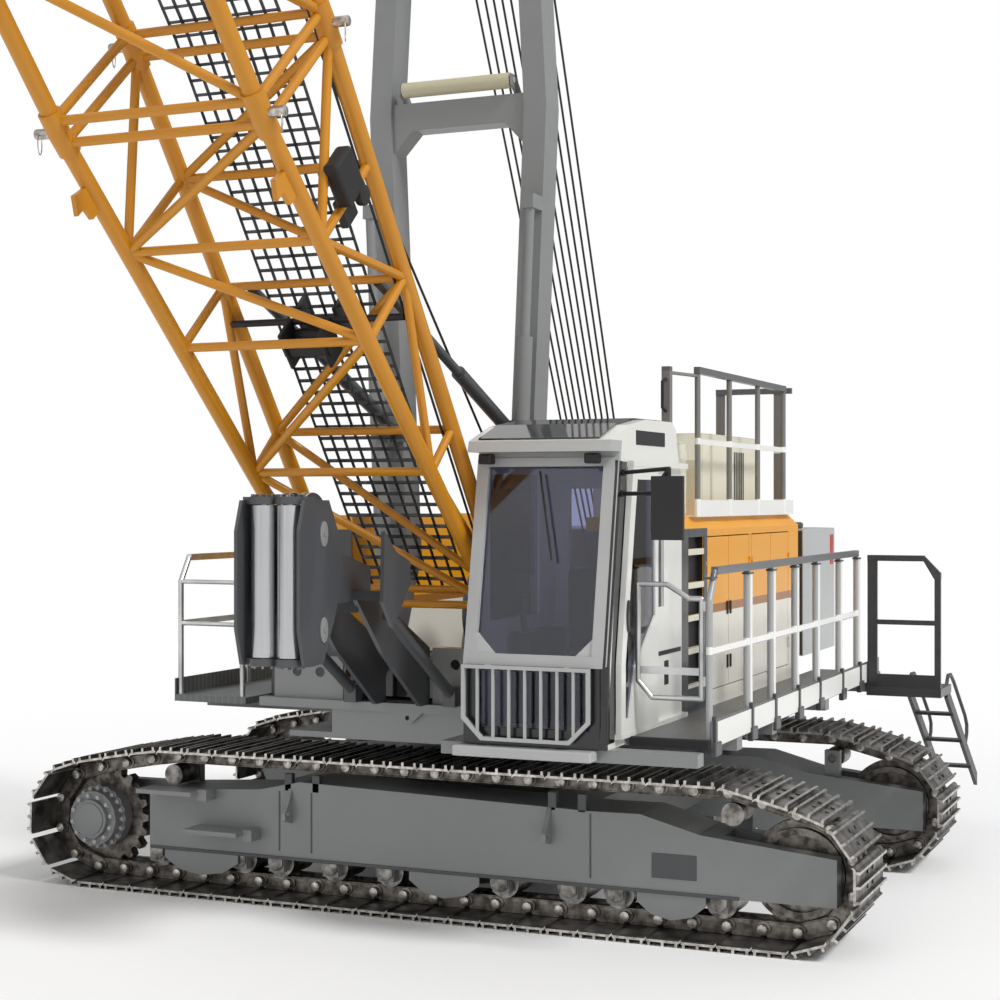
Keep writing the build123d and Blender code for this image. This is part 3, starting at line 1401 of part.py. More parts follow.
with BuildPart() as roller_brackets:
    for s in (-1, 1):
        x0, x1 = sorted((s * 430, s * 445))
        side_plate(
            [
                (leg_middle - 60, MAST_KNEE[1] + MAST_BEAM / 2),
                (leg_middle + 60, MAST_KNEE[1] + MAST_BEAM / 2),
                (ROLLER_Y + 40, ROLLER_Z + 40),
                (ROLLER_Y - 40, ROLLER_Z + 40),
                (ROLLER_Y - 40, ROLLER_Z - 40),
            ],
            x0,
            x1,
        )
        add(disc_x(x0, x1, ROLLER_Y, ROLLER_Z, 20 + RUN_GAP), mode=Mode.SUBTRACT)
save(roller_brackets.part, "roller_brackets")

# Jacks along the legs' front and backstops out to the boom's upper side
JACK_Z = (2420, 4900)
JACK_SHIFT = 45
STOP_X = 440
STOP_Z = 3310
STOP_S = 3150
with BuildPart() as mast_jacks:
    for s in (-1, 1):
        low = (s * (leg_x(JACK_Z[0]) + JACK_SHIFT), LEG_FRONT - 130, JACK_Z[0])
        high = (s * (leg_x(JACK_Z[1]) + JACK_SHIFT), LEG_FRONT - 130, JACK_Z[1])
        joint = Vector(*low) + (Vector(*high) - Vector(*low)) * 0.62
        add(rod(low, joint, 58))
        add(rod(joint, high, 35))
        for x, y, z in (low, high):
            block(x - 40, x + 40, y - 40, LEG_FRONT, z - 50, z + 50)
save(mast_jacks.part, "mast_jacks")

stop_tube = BOOM.from_local_coords((0, foot_depth(STOP_S), STOP_S))
with BuildPart() as backstops:
    for s in (-1, 1):
        start = Vector(s * STOP_X, LEG_FRONT - 60, STOP_Z)
        end = Vector(s * STOP_X, stop_tube.Y, stop_tube.Z)
        along = (end - start).normalized()
        joint = start + (end - start) * 0.42
        add(rod(tuple(start), tuple(joint), 48))
        add(rod(tuple(joint), tuple(end - along * (BRACE_RADIUS + 0.3)), 32))
        block(s * STOP_X - 45, s * STOP_X + 45, LEG_FRONT - 90, LEG_FRONT, STOP_Z - 70, STOP_Z + 70)
save(backstops.part, "backstops")

with BuildPart() as pendants:
    tip = BOOM.from_local_coords((0, STAY_N, STAY_S))
    for s in (-1, 1):
        x = s * (MAST_TOP[0] + 45)
        start = (x, leg_middle, MAST_TOP[1] + 240)
        end = (x, tip.Y, tip.Z)
        add(rod(start, end, 20))
        add(disc_x(x - 20, x + 20, start[1], start[2], 80))
        add(disc_x(x - 20, x + 20, end[1], end[2], 80))
        add(disc_x(x - 20, x + 20, start[1], start[2], 50), mode=Mode.SUBTRACT)
        add(disc_x(x - 20, x + 20, end[1], end[2], 30), mode=Mode.SUBTRACT)
save(pendants.part, "pendants")
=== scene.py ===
import json
import math

import bpy
from mathutils import Matrix, Vector

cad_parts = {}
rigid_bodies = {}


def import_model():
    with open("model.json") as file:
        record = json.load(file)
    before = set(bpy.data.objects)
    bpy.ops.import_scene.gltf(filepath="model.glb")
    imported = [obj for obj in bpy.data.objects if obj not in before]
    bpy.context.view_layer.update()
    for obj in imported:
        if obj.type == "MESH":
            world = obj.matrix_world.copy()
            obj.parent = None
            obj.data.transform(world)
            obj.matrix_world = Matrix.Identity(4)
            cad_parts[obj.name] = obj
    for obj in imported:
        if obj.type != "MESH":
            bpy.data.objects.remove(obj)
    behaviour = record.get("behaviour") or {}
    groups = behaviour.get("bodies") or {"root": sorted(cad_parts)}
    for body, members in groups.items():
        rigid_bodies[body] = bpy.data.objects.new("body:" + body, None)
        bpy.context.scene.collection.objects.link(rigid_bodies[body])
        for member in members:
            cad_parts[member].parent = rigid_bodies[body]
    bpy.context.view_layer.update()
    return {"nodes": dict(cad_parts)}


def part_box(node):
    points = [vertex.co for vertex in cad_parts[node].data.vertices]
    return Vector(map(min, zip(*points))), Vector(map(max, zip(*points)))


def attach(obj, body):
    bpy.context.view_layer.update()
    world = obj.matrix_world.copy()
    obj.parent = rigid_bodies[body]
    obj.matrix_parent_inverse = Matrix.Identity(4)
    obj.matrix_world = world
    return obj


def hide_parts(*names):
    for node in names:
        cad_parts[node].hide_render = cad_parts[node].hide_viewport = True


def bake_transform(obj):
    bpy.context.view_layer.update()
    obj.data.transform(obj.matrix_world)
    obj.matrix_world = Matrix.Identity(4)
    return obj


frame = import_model()


# The view
# The crane is seen from the front left of its upper carriage, about 14 m from the slewing
# axis and 2.8 m up. The camera is level, so uprights stay upright, and its lens is long.
camera = bpy.data.objects.new("camera", bpy.data.cameras.new("camera"))
bpy.context.scene.collection.objects.link(camera)
camera.location = (5.4695, -12.754, 2.821)
camera.rotation_euler = (math.radians(90), 0, math.radians(23.48))
camera.data.lens = 65.38
camera.data.sensor_width = 36
camera.data.clip_end = 300
bpy.context.scene.camera = camera
bpy.context.scene.view_settings.view_transform = "Standard"


# Floor and light
# A pale studio floor that turns to plain white away from the machine, and a white surround that
# gloss sees brighter toward the main lamp. That lamp shines from above the cab's side, and two
# weak and very soft ones open the shadows.
def colour(code):
    """A colour written as sRGB hex, in linear light."""
    parts = [int(code[k : k + 2], 16) / 255 for k in (1, 3, 5)]
    return (*[p / 12.92 if p <= 0.04045 else ((p + 0.055) / 1.055) ** 2.4 for p in parts], 1)


def node(material, kind, inputs=None, **settings):
    """Adds one shader node, with its settings, and its inputs as values or as other sockets."""
    made = material.node_tree.nodes.new(kind)
    for key, value in settings.items():
        setattr(made, key, value)
    for key, value in (inputs or {}).items():
        if isinstance(value, bpy.types.NodeSocket):
            material.node_tree.links.new(value, made.inputs[key])
        else:
            made.inputs[key].default_value = value
    return made


def bare_material(name):
    material = bpy.data.materials.new(name)
    material.use_nodes = True
    material.node_tree.nodes.clear()
    return material


def deselect():
    for thing in bpy.context.view_layer.objects:
        thing.select_set(False)


# matt paint takes the soft shadows near the machine, and further off the camera sees plain white
FLOOR_HALF = 60
FADE_START, FADE_END = 7.0, 13.0  # metres from the slewing axis
floor_paint = bare_material("matt_studio_floor")
place = node(floor_paint, "ShaderNodeTexCoord").outputs["Object"]
reach = node(floor_paint, "ShaderNodeVectorMath", {0: place}, operation="LENGTH")
fade = node(
    floor_paint,
    "ShaderNodeMapRange",
    {"Value": reach.outputs["Value"], "From Min": FADE_START, "From Max": FADE_END},
)
matt = node(floor_paint, "ShaderNodeBsdfDiffuse", {"Color": colour("#FBFBFB")})
plain = node(floor_paint, "ShaderNodeEmission", {"Color": (1, 1, 1, 1), "Strength": 1.0})
seen = node(floor_paint, "ShaderNodeLightPath").outputs["Is Camera Ray"]
away = node(floor_paint, "ShaderNodeMath", {0: fade.outputs["Result"], 1: seen}, operation="MULTIPLY")
both = node(
    floor_paint,
    "ShaderNodeMixShader",
    {"Fac": away.outputs["Value"], 1: matt.outputs["BSDF"], 2: plain.outputs["Emission"]},
)
node(floor_paint, "ShaderNodeOutputMaterial", {"Surface": both.outputs["Shader"]})
deselect()
bpy.ops.mesh.primitive_plane_add(size=2 * FLOOR_HALF)
floor = bpy.context.active_object
floor.name = "floor"
floor.data.materials.append(floor_paint)

surround = bpy.data.worlds.new("studio_surround")
bpy.context.scene.world = surround
surround.use_nodes = True
surround.node_tree.nodes.clear()
rays = node(surround, "ShaderNodeLightPath")
direct = node(
    surround,
    "ShaderNodeMath",
    {0: rays.outputs["Is Transmission Ray"], 1: rays.outputs["Is Camera Ray"]},
    operation="MAXIMUM",
)
look = node(surround, "ShaderNodeTexCoord").outputs["Generated"]
toward_lamp = node(
    surround, "ShaderNodeVectorMath", {0: look, 1: (0.55, -0.45, 0.70)}, operation="DOT_PRODUCT"
)
gleam = node(
    surround,
    "ShaderNodeMapRange",
    {"Value": toward_lamp.outputs["Value"], "From Min": -0.5, "From Max": 0.9, "To Min": 0.2, "To Max": 1.3},
)
soft = node(surround, "ShaderNodeBackground", {"Color": (1, 1, 1, 1), "Strength": 0.46})
mirrored = node(surround, "ShaderNodeBackground", {"Strength": gleam.outputs["Result"]})
white = node(surround, "ShaderNodeBackground", {"Color": (1, 1, 1, 1), "Strength": 1.0})
lit = node(
    surround,
    "ShaderNodeMixShader",
    {"Fac": rays.outputs["Is Glossy Ray"], 1: soft.outputs["Background"], 2: mirrored.outputs["Background"]},
)
either = node(
    surround,
    "ShaderNodeMixShader",
    {"Fac": direct.outputs["Value"], 1: lit.outputs["Shader"], 2: white.outputs["Background"]},
)
node(surround, "ShaderNodeOutputWorld", {"Surface": either.outputs["Shader"]})

# each lamp: direction that it shines from, strength, softness in degrees
LAMPS = (
    ((0.80, -0.22, 0.85), 2.05, 16),
    ((-0.5, -1.0, 0.5), 0.25, 50),
    ((-0.3, 0.8, 0.8), 0.25, 50),
)
for k, (source, strength, spread) in enumerate(LAMPS):
    lamp = bpy.data.objects.new(f"lamp_{k}", bpy.data.lights.new(f"lamp_{k}", "SUN"))
    lamp.data.energy = strength
    lamp.data.angle = math.radians(spread)
    lamp.rotation_euler = Vector(source).to_track_quat("Z", "Y").to_euler()
    bpy.context.scene.collection.objects.link(lamp)


# Undercarriage
# Two welded box frames and a car body of thick plate, sandblasted and sprayed in satin grey.
# Bolted hubs carry the drive wheels, and caps hold the ends of the rollers' axles.
def coated(name, main, shade, roughness, grain_mm=6.0, patch_mm=700, peel=0.04, coat=0.0):
    """Sprayed paint on steel: two close tones in soft patches, and a fine uneven skin.

    The skin's grain is 1 to 2 mm wide in truth, and is drawn wider so that it shows."""
    material = bare_material(name)
    place = node(material, "ShaderNodeTexCoord").outputs["Object"]
    patches = node(
        material,
        "ShaderNodeTexNoise",
        {"Vector": place, "Scale": 1000 / patch_mm, "Detail": 5.0, "Roughness": 0.6},
    )
    tone = node(
        material,
        "ShaderNodeMix",
        {"Factor": patches.outputs["Fac"], "A": colour(main), "B": colour(shade)},
        data_type="RGBA",
    )
    sheen = node(
        material,
        "ShaderNodeMapRange",
        {"Value": patches.outputs["Fac"], "To Min": roughness - 0.06, "To Max": roughness + 0.08},
    )
    skin = node(material, "ShaderNodeTexNoise", {"Vector": place, "Scale": 1000 / grain_mm})
    bump = node(
        material,
        "ShaderNodeBump",
        {"Height": skin.outputs["Fac"], "Strength": peel, "Distance": 0.002},
    )
    shader = node(
        material,
        "ShaderNodeBsdfPrincipled",
        {
            "Base Color": tone.outputs["Result"],
            "Roughness": sheen.outputs["Result"],
            "Normal": bump.outputs["Normal"],
            "Coat Weight": coat,
        },
    )
    node(material, "ShaderNodeOutputMaterial", {"Surface": shader.outputs["BSDF"]})
    return material


def bare_metal(name, bright, dark, roughness, patch_mm=60, grain_mm=3.0, stretch=(1, 1, 1)):
    """Bare metal: blotches of bright and dark, with a fine grain that may run one way.

    The grain is finer than a millimetre in truth, and is drawn wider so that it shows."""
    material = bare_material(name)
    place = node(material, "ShaderNodeTexCoord").outputs["Object"]
    drawn = node(material, "ShaderNodeMapping", {"Vector": place, "Scale": stretch})
    blotch = node(
        material,
        "ShaderNodeTexNoise",
        {"Vector": drawn.outputs["Vector"], "Scale": 1000 / patch_mm, "Detail": 6.0},
    )
    spread = node(
        material,
        "ShaderNodeMapRange",
        {"Value": blotch.outputs["Fac"], "From Min": 0.35, "From Max": 0.65},
    )
    tone = node(
        material,
        "ShaderNodeMix",
        {"Factor": spread.outputs["Result"], "A": colour(dark), "B": colour(bright)},
        data_type="RGBA",
    )
    grain = node(
        material,
        "ShaderNodeTexNoise",
        {"Vector": drawn.outputs["Vector"], "Scale": 1000 / grain_mm},
    )
    bump = node(
        material,
        "ShaderNodeBump",
        {"Height": grain.outputs["Fac"], "Strength": 0.08, "Distance": 0.001},
    )
    rough = node(
        material,
        "ShaderNodeMapRange",
        {"Value": blotch.outputs["Fac"], "To Min": roughness + 0.12, "To Max": roughness - 0.08},
    )
    shader = node(
        material,
        "ShaderNodeBsdfPrincipled",
        {
            "Base Color": tone.outputs["Result"],
            "Metallic": 1.0,
            "Roughness": rough.outputs["Result"],
            "Normal": bump.outputs["Normal"],
        },
    )
    node(material, "ShaderNodeOutputMaterial", {"Surface": shader.outputs["BSDF"]})
    return material


def dress(material, *names):
    """Gives CAD nodes a finish."""
    for name in names:
        slots = frame["nodes"][name].material_slots
        if not slots:
            frame["nodes"][name].data.materials.append(material)
        for slot in slots:
            slot.material = material


# satin enamels give soft highlights, a little sharper on the dark grey
machine_grey = coated("satin_machine_enamel", "#8B8D8D", "#7E8080", 0.42, coat=0.15)
dark_grey = coated("dark_grey_enamel", "#4A4C4E", "#404244", 0.38, coat=0.2)
pale_grey = coated("pale_grey_enamel", "#B9BBBA", "#ABADAD", 0.4)
# forged steel is dark with blotches of scale, and turned steel is brighter and smoother
forged_steel = bare_metal("forged_track_steel", "#8E8983", "#4C4844", 0.42)
roller_steel = bare_metal("turned_roller_steel", "#A3A09B", "#5D5A57", 0.34)
dress(machine_grey, "car_body", "track_frame_right", "track_frame_left", "slew_ring")
dress(forged_steel, "sprocket_right", "sprocket_left", "idler_right", "idler_left")
dress(roller_steel, "rollers_right", "rollers_left")


def settle(piece, body, slot, *materials):
    """Puts a finished piece's place into its mesh, gives it its finish and fixes it to a body."""
    deselect()
    bpy.context.view_layer.objects.active = piece
    piece.select_set(True)
    bpy.ops.object.transform_apply(location=True, rotation=True, scale=True)
    if materials:
        piece.data.materials.clear()
        for material in materials:
            piece.data.materials.append(material)
    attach(piece, body)
    return piece


def block(name, low, high, bevel=0.0):
    """A box between two corners with broken edges."""
    deselect()
    middle = [(a + b) / 2 for a, b in zip(low, high)]
    bpy.ops.mesh.primitive_cube_add(size=1, location=middle)
    piece = bpy.context.active_object
    piece.name = name
    piece.scale = [abs(b - a) for a, b in zip(low, high)]
    bpy.ops.object.transform_apply(location=True, rotation=True, scale=True)
    if bevel:
        bpy.ops.object.mode_set(mode="EDIT")
        bpy.ops.mesh.select_all(action="SELECT")
        bpy.ops.mesh.bevel(offset=bevel, segments=2, affect="EDGES")
        bpy.ops.object.mode_set(mode="OBJECT")
    return piece


def disc(name, centre, axis, radius, length, sides=32, bevel=0.0):
    """A round of a given length about a line through its centre, with broken rims."""
    deselect()
    turn = Vector(axis).to_track_quat("Z", "Y").to_euler()
    bpy.ops.mesh.primitive_cylinder_add(
        vertices=sides, radius=radius, depth=length, location=centre, rotation=turn
    )
    piece = bpy.context.active_object
    piece.name = name
    bpy.ops.object.transform_apply(location=True, rotation=True, scale=True)
    if bevel:
        modifier = piece.modifiers.new("rim", "BEVEL")
        modifier.width = bevel
        modifier.segments = 2
        modifier.limit_method = "ANGLE"
        modifier.angle_limit = math.radians(50)
        bpy.ops.object.modifier_apply(modifier="rim")
    bpy.ops.object.shade_smooth_by_angle(angle=math.radians(35))
    return piece


def joined(name, pieces):
    """Joins pieces into the first."""
    deselect()
    for piece in pieces:
        piece.select_set(True)
    bpy.context.view_layer.objects.active = pieces[0]
    if len(pieces) > 1:
        bpy.ops.object.join()
    pieces[0].name = name
    return pieces[0]


def repeated(piece, places):
    """Copies a piece to each place, each copy with its own mesh, and joins the copies."""
    name, pattern = piece.name, piece.data
    bpy.data.objects.remove(piece)
    copies = []
    for place in places:
        copy = bpy.data.objects.new(name, pattern.copy())
        copy.data.transform(place)
        bpy.context.scene.collection.objects.link(copy)
        copies.append(copy)
    return joined(name, copies)


def bolt_head(name, across=0.036, height=0.022):
    """A six-sided bolt head on its washer, standing on the origin along Z."""
    head = disc(name, (0, 0, height / 2 + 0.004), (0, 0, 1), across / 2, height, 6, 0.002)
    washer = disc(name + "_washer", (0, 0, 0.002), (0, 0, 1), across * 0.62, 0.004, 12)
    return joined(name, [head, washer])


def facing(point, direction):
    """The place that stands a piece's Z along a direction, with its origin on a point."""
    turn = Vector(direction).to_track_quat("Z", "Y").to_matrix().to_4x4()
    return Matrix.Translation(point) @ turn


HUB = (-2.640, 0.468)
GAUGE_HALF = 1.43
RING_RADIUS, FLANGE_RADIUS = 0.170, 0.214
ROLLER_HEIGHT = 0.259
ROLLERS = (-2.073, -1.748, -1.379, -1.076, -0.643, -0.214, 0.249, 0.647, 1.135, 1.462, 1.810, 2.156)
for side, out in (("right", -1), ("left", 1)):
    ring_y, flange_y = out * (GAUGE_HALF + 0.21), out * (GAUGE_HALF + 0.13)
    ring = [
        (HUB[0] + RING_RADIUS * math.cos(a), ring_y, HUB[1] + RING_RADIUS * math.sin(a))
        for a in [math.radians(30 * k + 10) for k in range(12)]
    ]
    flange = [
        (HUB[0] + FLANGE_RADIUS * math.cos(a), flange_y, HUB[1] + FLANGE_RADIUS * math.sin(a))
        for a in [math.radians(18 * k) for k in range(20)]
    ]
    hub_bolts = repeated(
        bolt_head(f"hub_bolts_{side}"), [facing(p, (0, out, 0)) for p in ring + flange]
    )
    settle(hub_bolts, "undercarriage", "steel_grey", pale_grey)
    cover = disc(f"hub_cover_{side}", (HUB[0], out * 1.683, HUB[1]), (0, 1, 0), 0.118, 0.012, 48, 0.004)
    settle(cover, "undercarriage", "steel_grey", machine_grey)

    # bearing caps on the rollers' axle ends, each on a small foot plate
    caps = []
    for x in ROLLERS:
        for end in (-1, 1):
            y = out * GAUGE_HALF + end * 0.218
            low, high = (x - 0.055, y - 0.006, 0.235), (x + 0.055, y + 0.006, 0.303)
            caps.append(disc("cap", (x, y, ROLLER_HEIGHT), (0, 1, 0), 0.050, 0.016, 20, 0.004))
            caps.append(block("cap_foot", low, high, 0.004))
    roller_caps = joined(f"roller_caps_{side}", caps)
    settle(roller_caps, "undercarriage", "track_steel", roller_steel)

    # welded seams, brackets on top of the frame and the panel at the chain tensioner
    face = out * (GAUGE_HALF + 0.25)
    trim = []
    for x in (-1.028, -0.772, 1.30):
        trim.append(block("seam", (x - 0.006, face - 0.004, 0.36), (x + 0.006, face + 0.004, 0.78), 0.002))
    for x in (-0.96, -0.74, 1.03, 1.24):
        y0, y1 = sorted((face, face - out * 0.05))
        trim.append(block("bracket", (x - 0.03, y0, 0.78), (x + 0.03, y1, 0.905), 0.006))
    trim.append(block("ledge", (-2.10, face - 0.012, 0.300), (2.30, face + 0.012, 0.322), 0.004))
    trim.append(block("panel", (1.72, face - 0.005, 0.40), (2.02, face + 0.005, 0.56), 0.004))
    frame_trim = joined(f"frame_trim_{side}", trim)
    settle(frame_trim, "undercarriage", "steel_grey", dark_grey)


# Tracks
# Each chain is 56 forged links on hardened pins, with a rolled three-bar shoe bolted to each
# link. The steel is dark from mill scale, and bright on the bars and ends that rub.
SHOES = 56
TURN_RADIUS = 0.364
PIN_LINE_LOW, PIN_LINE_TOP = 0.104, 0.954
IDLER = (2.645, 0.468)
CARRIERS = ((-2.000, PIN_LINE_TOP), (2.215, PIN_LINE_TOP))


def on_turn(centre, angle):
    """A point of the pin line on a wheel's turn."""
    return (centre[0] + TURN_RADIUS * math.cos(angle), centre[1] + TURN_RADIUS * math.sin(angle))


def touch(centre, point, side):
    """Angle at which a line to a point leaves the turn."""
    run, rise = point[0] - centre[0], point[1] - centre[1]
    return math.atan2(rise, run) + side * math.acos(TURN_RADIUS / math.hypot(run, rise))


rear_angle, front_angle = touch(HUB, CARRIERS[0], 1), touch(IDLER, CARRIERS[1], -1)
corners = [
    (IDLER[0], PIN_LINE_LOW),
    (HUB[0], PIN_LINE_LOW),
    on_turn(HUB, rear_angle),
    *CARRIERS,
    on_turn(IDLER, front_angle),
]
# the chain's legs in order: straight between corners, or a turn about a wheel
legs = [
    (corners[0], corners[1], None, 0),
    (corners[1], corners[2], HUB, 1.5 * math.pi),
    (corners[2], corners[3], None, 0),
    (corners[3], corners[4], None, 0),
    (corners[4], corners[5], None, 0),
    (corners[5], corners[0], IDLER, front_angle),
]


def leg_length(leg):
    """Length of a leg: a straight, or the arc of its turn."""
    start, end, wheel, angle = leg
    if wheel is None:
        return math.dist(start, end)
    return TURN_RADIUS * (angle - (rear_angle if wheel is HUB else -0.5 * math.pi))


def chain_place(distance):
    """The point of the pin line that lies a distance along it."""
    for leg in legs:
        length = leg_length(leg)
        if distance <= length:
            start, end, wheel, angle = leg
            if wheel is not None:
                return on_turn(wheel, angle - distance / TURN_RADIUS)
            share = distance / length
            return tuple(p + (q - p) * share for p, q in zip(start, end))
        distance -= length
    return corners[0]


loop_length = sum(leg_length(leg) for leg in legs)
pins = [chain_place(loop_length * k / SHOES) for k in range(SHOES)]


def link_place(k, y):
    """The frame of link k: X along the chain, Y across, Z outwards, origin on the pin line."""
    a, b = pins[k], pins[(k + 1) % SHOES]
    size = math.dist(a, b)
    ax, az = (b[0] - a[0]) / size, (b[1] - a[1]) / size
    mx, mz = (a[0] + b[0]) / 2, (a[1] + b[1]) / 2
    return Matrix(((ax, 0, -az, mx), (0, 1, 0, y), (az, 0, ax, mz), (0, 0, 0, 1)))


# rolled shoes are dull with wide blotches, and rubbed edges and hardened pins shine
shoe_steel = bare_metal("rolled_shoe_steel", "#9A9896", "#4D4B49", 0.46, patch_mm=140)
rubbed_steel = bare_metal("rubbed_bright_steel", "#D9D6D1", "#9B968F", 0.3, patch_mm=40)
pin_steel = bare_metal("hardened_pin_steel", "#D2CFCA", "#99958F", 0.34, patch_mm=30)


def select_faces(piece, wanted):
    """Selects the faces for which wanted(centre, normal) holds, and goes into edit mode."""
    bpy.context.view_layer.objects.active = piece
    bpy.ops.object.mode_set(mode="EDIT")
    bpy.ops.mesh.select_mode(type="FACE")
    bpy.ops.mesh.select_all(action="DESELECT")
    bpy.ops.object.mode_set(mode="OBJECT")
    for face in piece.data.polygons:
        face.select = wanted(face.center, face.normal)
    bpy.ops.object.mode_set(mode="EDIT")


def cut_across(positions, normal):
    """Cuts the mesh in edit mode by planes at positions along a normal."""
    for at in positions:
        bpy.ops.mesh.select_all(action="SELECT")
        point = tuple(n * at for n in normal)
        bpy.ops.mesh.bisect(plane_co=point, plane_no=normal)


# shoe: plate 214 x 800 x 16 mm with its long edges bent, and three bars 26 mm high
SHOE_HALF, PLATE_LOW, PLATE_TOP, BAR = 0.107, 0.062, 0.078, 0.026
shoe = block("track_shoes", (-SHOE_HALF, -0.4, PLATE_LOW), (SHOE_HALF, 0.4, PLATE_TOP))
bpy.ops.object.mode_set(mode="EDIT")
bars = (-0.091, 0.0, 0.091)
cut_across([b + d for b in bars for d in (-0.009, 0.009)], (1, 0, 0))
bpy.ops.object.mode_set(mode="OBJECT")
select_faces(shoe, lambda c, n: n.z > 0.5 and min(abs(c.x - b) for b in bars) < 0.008)
bpy.ops.mesh.extrude_region_move(TRANSFORM_OT_translate={"value": (0, 0, BAR)})
bpy.ops.transform.resize(value=(0.985, 0.995, 1))
bpy.ops.object.mode_set(mode="OBJECT")
select_faces(shoe, lambda c, n: n.x < -0.5 and c.z < PLATE_TOP)
bpy.ops.mesh.extrude_region_move(TRANSFORM_OT_translate={"value": (-0.016, 0, -0.014)})
bpy.ops.object.mode_set(mode="OBJECT")
shoe.data.materials.append(shoe_steel)
shoe.data.materials.append(rubbed_steel)
for face in shoe.data.polygons:
    tip = face.normal.z > 0.5 and face.center.z > PLATE_TOP + 0.6 * BAR
    face.material_index = 1 if tip or abs(face.normal.y) > 0.5 else 0

# link: two side plates with a hollow in each face, bosses at the pins and a running rail
HALF_PITCH = 0.1143
link_parts = []
for y in (-0.075, 0.075):
    plate = block("link", (-0.100, y - 0.018, -0.046), (0.100, y + 0.018, 0.060), 0.006)
    select_faces(plate, lambda c, n: abs(n.y) > 0.9 and abs(c.x) < 0.05)
    bpy.ops.mesh.inset(thickness=0.022)
    bpy.ops.transform.resize(value=(1, 0.72, 0.9), center_override=(0, y, 0.007))
    bpy.ops.object.mode_set(mode="OBJECT")
    link_parts.append(plate)
    for x, shift in ((-HALF_PITCH, -0.004), (HALF_PITCH, 0.004)):
        link_parts.append(disc("boss", (x, y + shift, 0), (0, 1, 0), 0.047, 0.044, 16, 0.004))
    link_parts.append(block("rail", (-0.112, y - 0.021, -0.050), (0.112, y + 0.021, -0.040), 0.002))
link = joined("track_links", link_parts)

# pin: its eight-sided ends stand out at both sides of the links
pin = disc("track_pins", (0, 0, 0), (0, 1, 0), 0.027, 0.292, 8, 0.004)
collars = [disc("collar", (0, y, 0), (0, 1, 0), 0.034, 0.030, 8, 0.004) for y in (-0.128, 0.128)]
pin = joined("track_pins", [pin, *collars])
# bolts that hold the shoe on the links
bolts = [
    disc("shoe_bolt", (x, y, PLATE_TOP + 0.005), (0, 0, 1), 0.015, 0.010, 6)
    for x in (-0.045, 0.045)
    for y in (-0.075, 0.075)
]
shoe_bolt = joined("shoe_bolts", bolts)

# the shoe already has its own two finishes
CHAIN_FINISH = {
    "track_shoes": (),
    "track_links": (forged_steel,),
    "track_pins": (pin_steel,),
    "shoe_bolts": (roller_steel,),
}
for side, y in (("right", -GAUGE_HALF), ("left", GAUGE_HALF)):
    places = [link_place(k, y) for k in range(SHOES)]
    pin_places = [p @ Matrix.Translation((-HALF_PITCH, 0, 0)) for p in places]
    for pattern, where in ((shoe, places), (link, places), (pin, pin_places), (shoe_bolt, places)):
        fresh = bpy.data.objects.new(f"{pattern.name}_{side}", pattern.data.copy())
        bpy.context.scene.collection.objects.link(fresh)
        made = repeated(fresh, where)
        settle(made, "undercarriage", "track_steel", *CHAIN_FINISH[pattern.name])
        if pattern is shoe:
            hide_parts(f"track_{side}")
for pattern in (shoe, link, pin, shoe_bolt):
    bpy.data.objects.remove(pattern)


# Upper frame and winches
# A welded deck on the slewing ring carries three rope winches. The drums are castings with a
# dark grey coat, and steel rope lies on them turn by turn.

# greased rope is near black, with a coarse skin from its strands
rope_black = coated("greased_wire_rope", "#2B2A28", "#1B1A19", 0.45, grain_mm=4, patch_mm=50, peel=0.5)
dress(machine_grey, "deck_frame", "winch_frame")
dress(dark_grey, "hoist_drum_front", "hoist_drum_rear", "luffing_drum", "engine_block")
# each winch: drum, y, z, radius of its barrel
WINCHES = (
    ("hoist_drum_front", 0.300, 1.950, 0.270),
    ("hoist_drum_rear", 1.320, 1.950, 0.270),
    ("luffing_drum", 2.420, 1.900, 0.220),
)
ROPE = 0.011  # radius
TURNS, FIRST_TURN = 27, -0.30
for name, y, z, barrel in WINCHES:
    coil = disc("turn", (0, y, z), (1, 0, 0), barrel + ROPE, 2 * ROPE, 36, ROPE * 0.9)
    turn_places = [Matrix.Translation((FIRST_TURN + 2.05 * ROPE * k, 0, 0)) for k in range(TURNS)]
    wraps = repeated(coil, turn_places)
    wraps.name = f"rope_on_{name}"
    settle(wraps, name, "black_paint", rope_black)


# Counterweight
# A cast counterweight behind the winches in pale grey enamel, with a brown-grey sheet over its
# front face that paints that face's shade and the hood's yellow light in it, plates over its cut corners,
# red marker lamps and a dark socket for a beacon.

# painted shade: brown-grey with the hood's reflected yellow in it, a little glossier than the machine's grey
front_shade_paint = coated("brown_painted_shade_and_hood_yellow", "#4F4536", "#41382C", 0.35, coat=0.2)
dress(pale_grey, "counterweight")
weight_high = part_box("counterweight")[1]
# the front face is pale grey like the rest, and this sheet paints its shade
front_sheet = block("counterweight_front_painted_shade", (-1.545, 2.944, 1.46), (1.545, 2.951, 2.55), 0.002)
settle(front_sheet, "uppercarriage", "steel_grey", front_shade_paint)
plates = []
for s in (-1, 1):
    x = s * (weight_high.x - 0.165)
    plate = block("corner", (x - 0.19, 4.33, 1.52), (x + 0.19, 4.345, 2.50), 0.004)
    to_axis = Matrix.Translation((-x, -4.3375, 0))
    turn = Matrix.Rotation(-s * math.radians(50.5), 4, "Z")
    plate.data.transform(Matrix.Translation((x, 4.36, 0)) @ turn @ to_axis)
    plates.append(plate)
corner_plates = joined("counterweight_corner_plates", plates)
settle(corner_plates, "uppercarriage", "steel_grey", pale_grey)
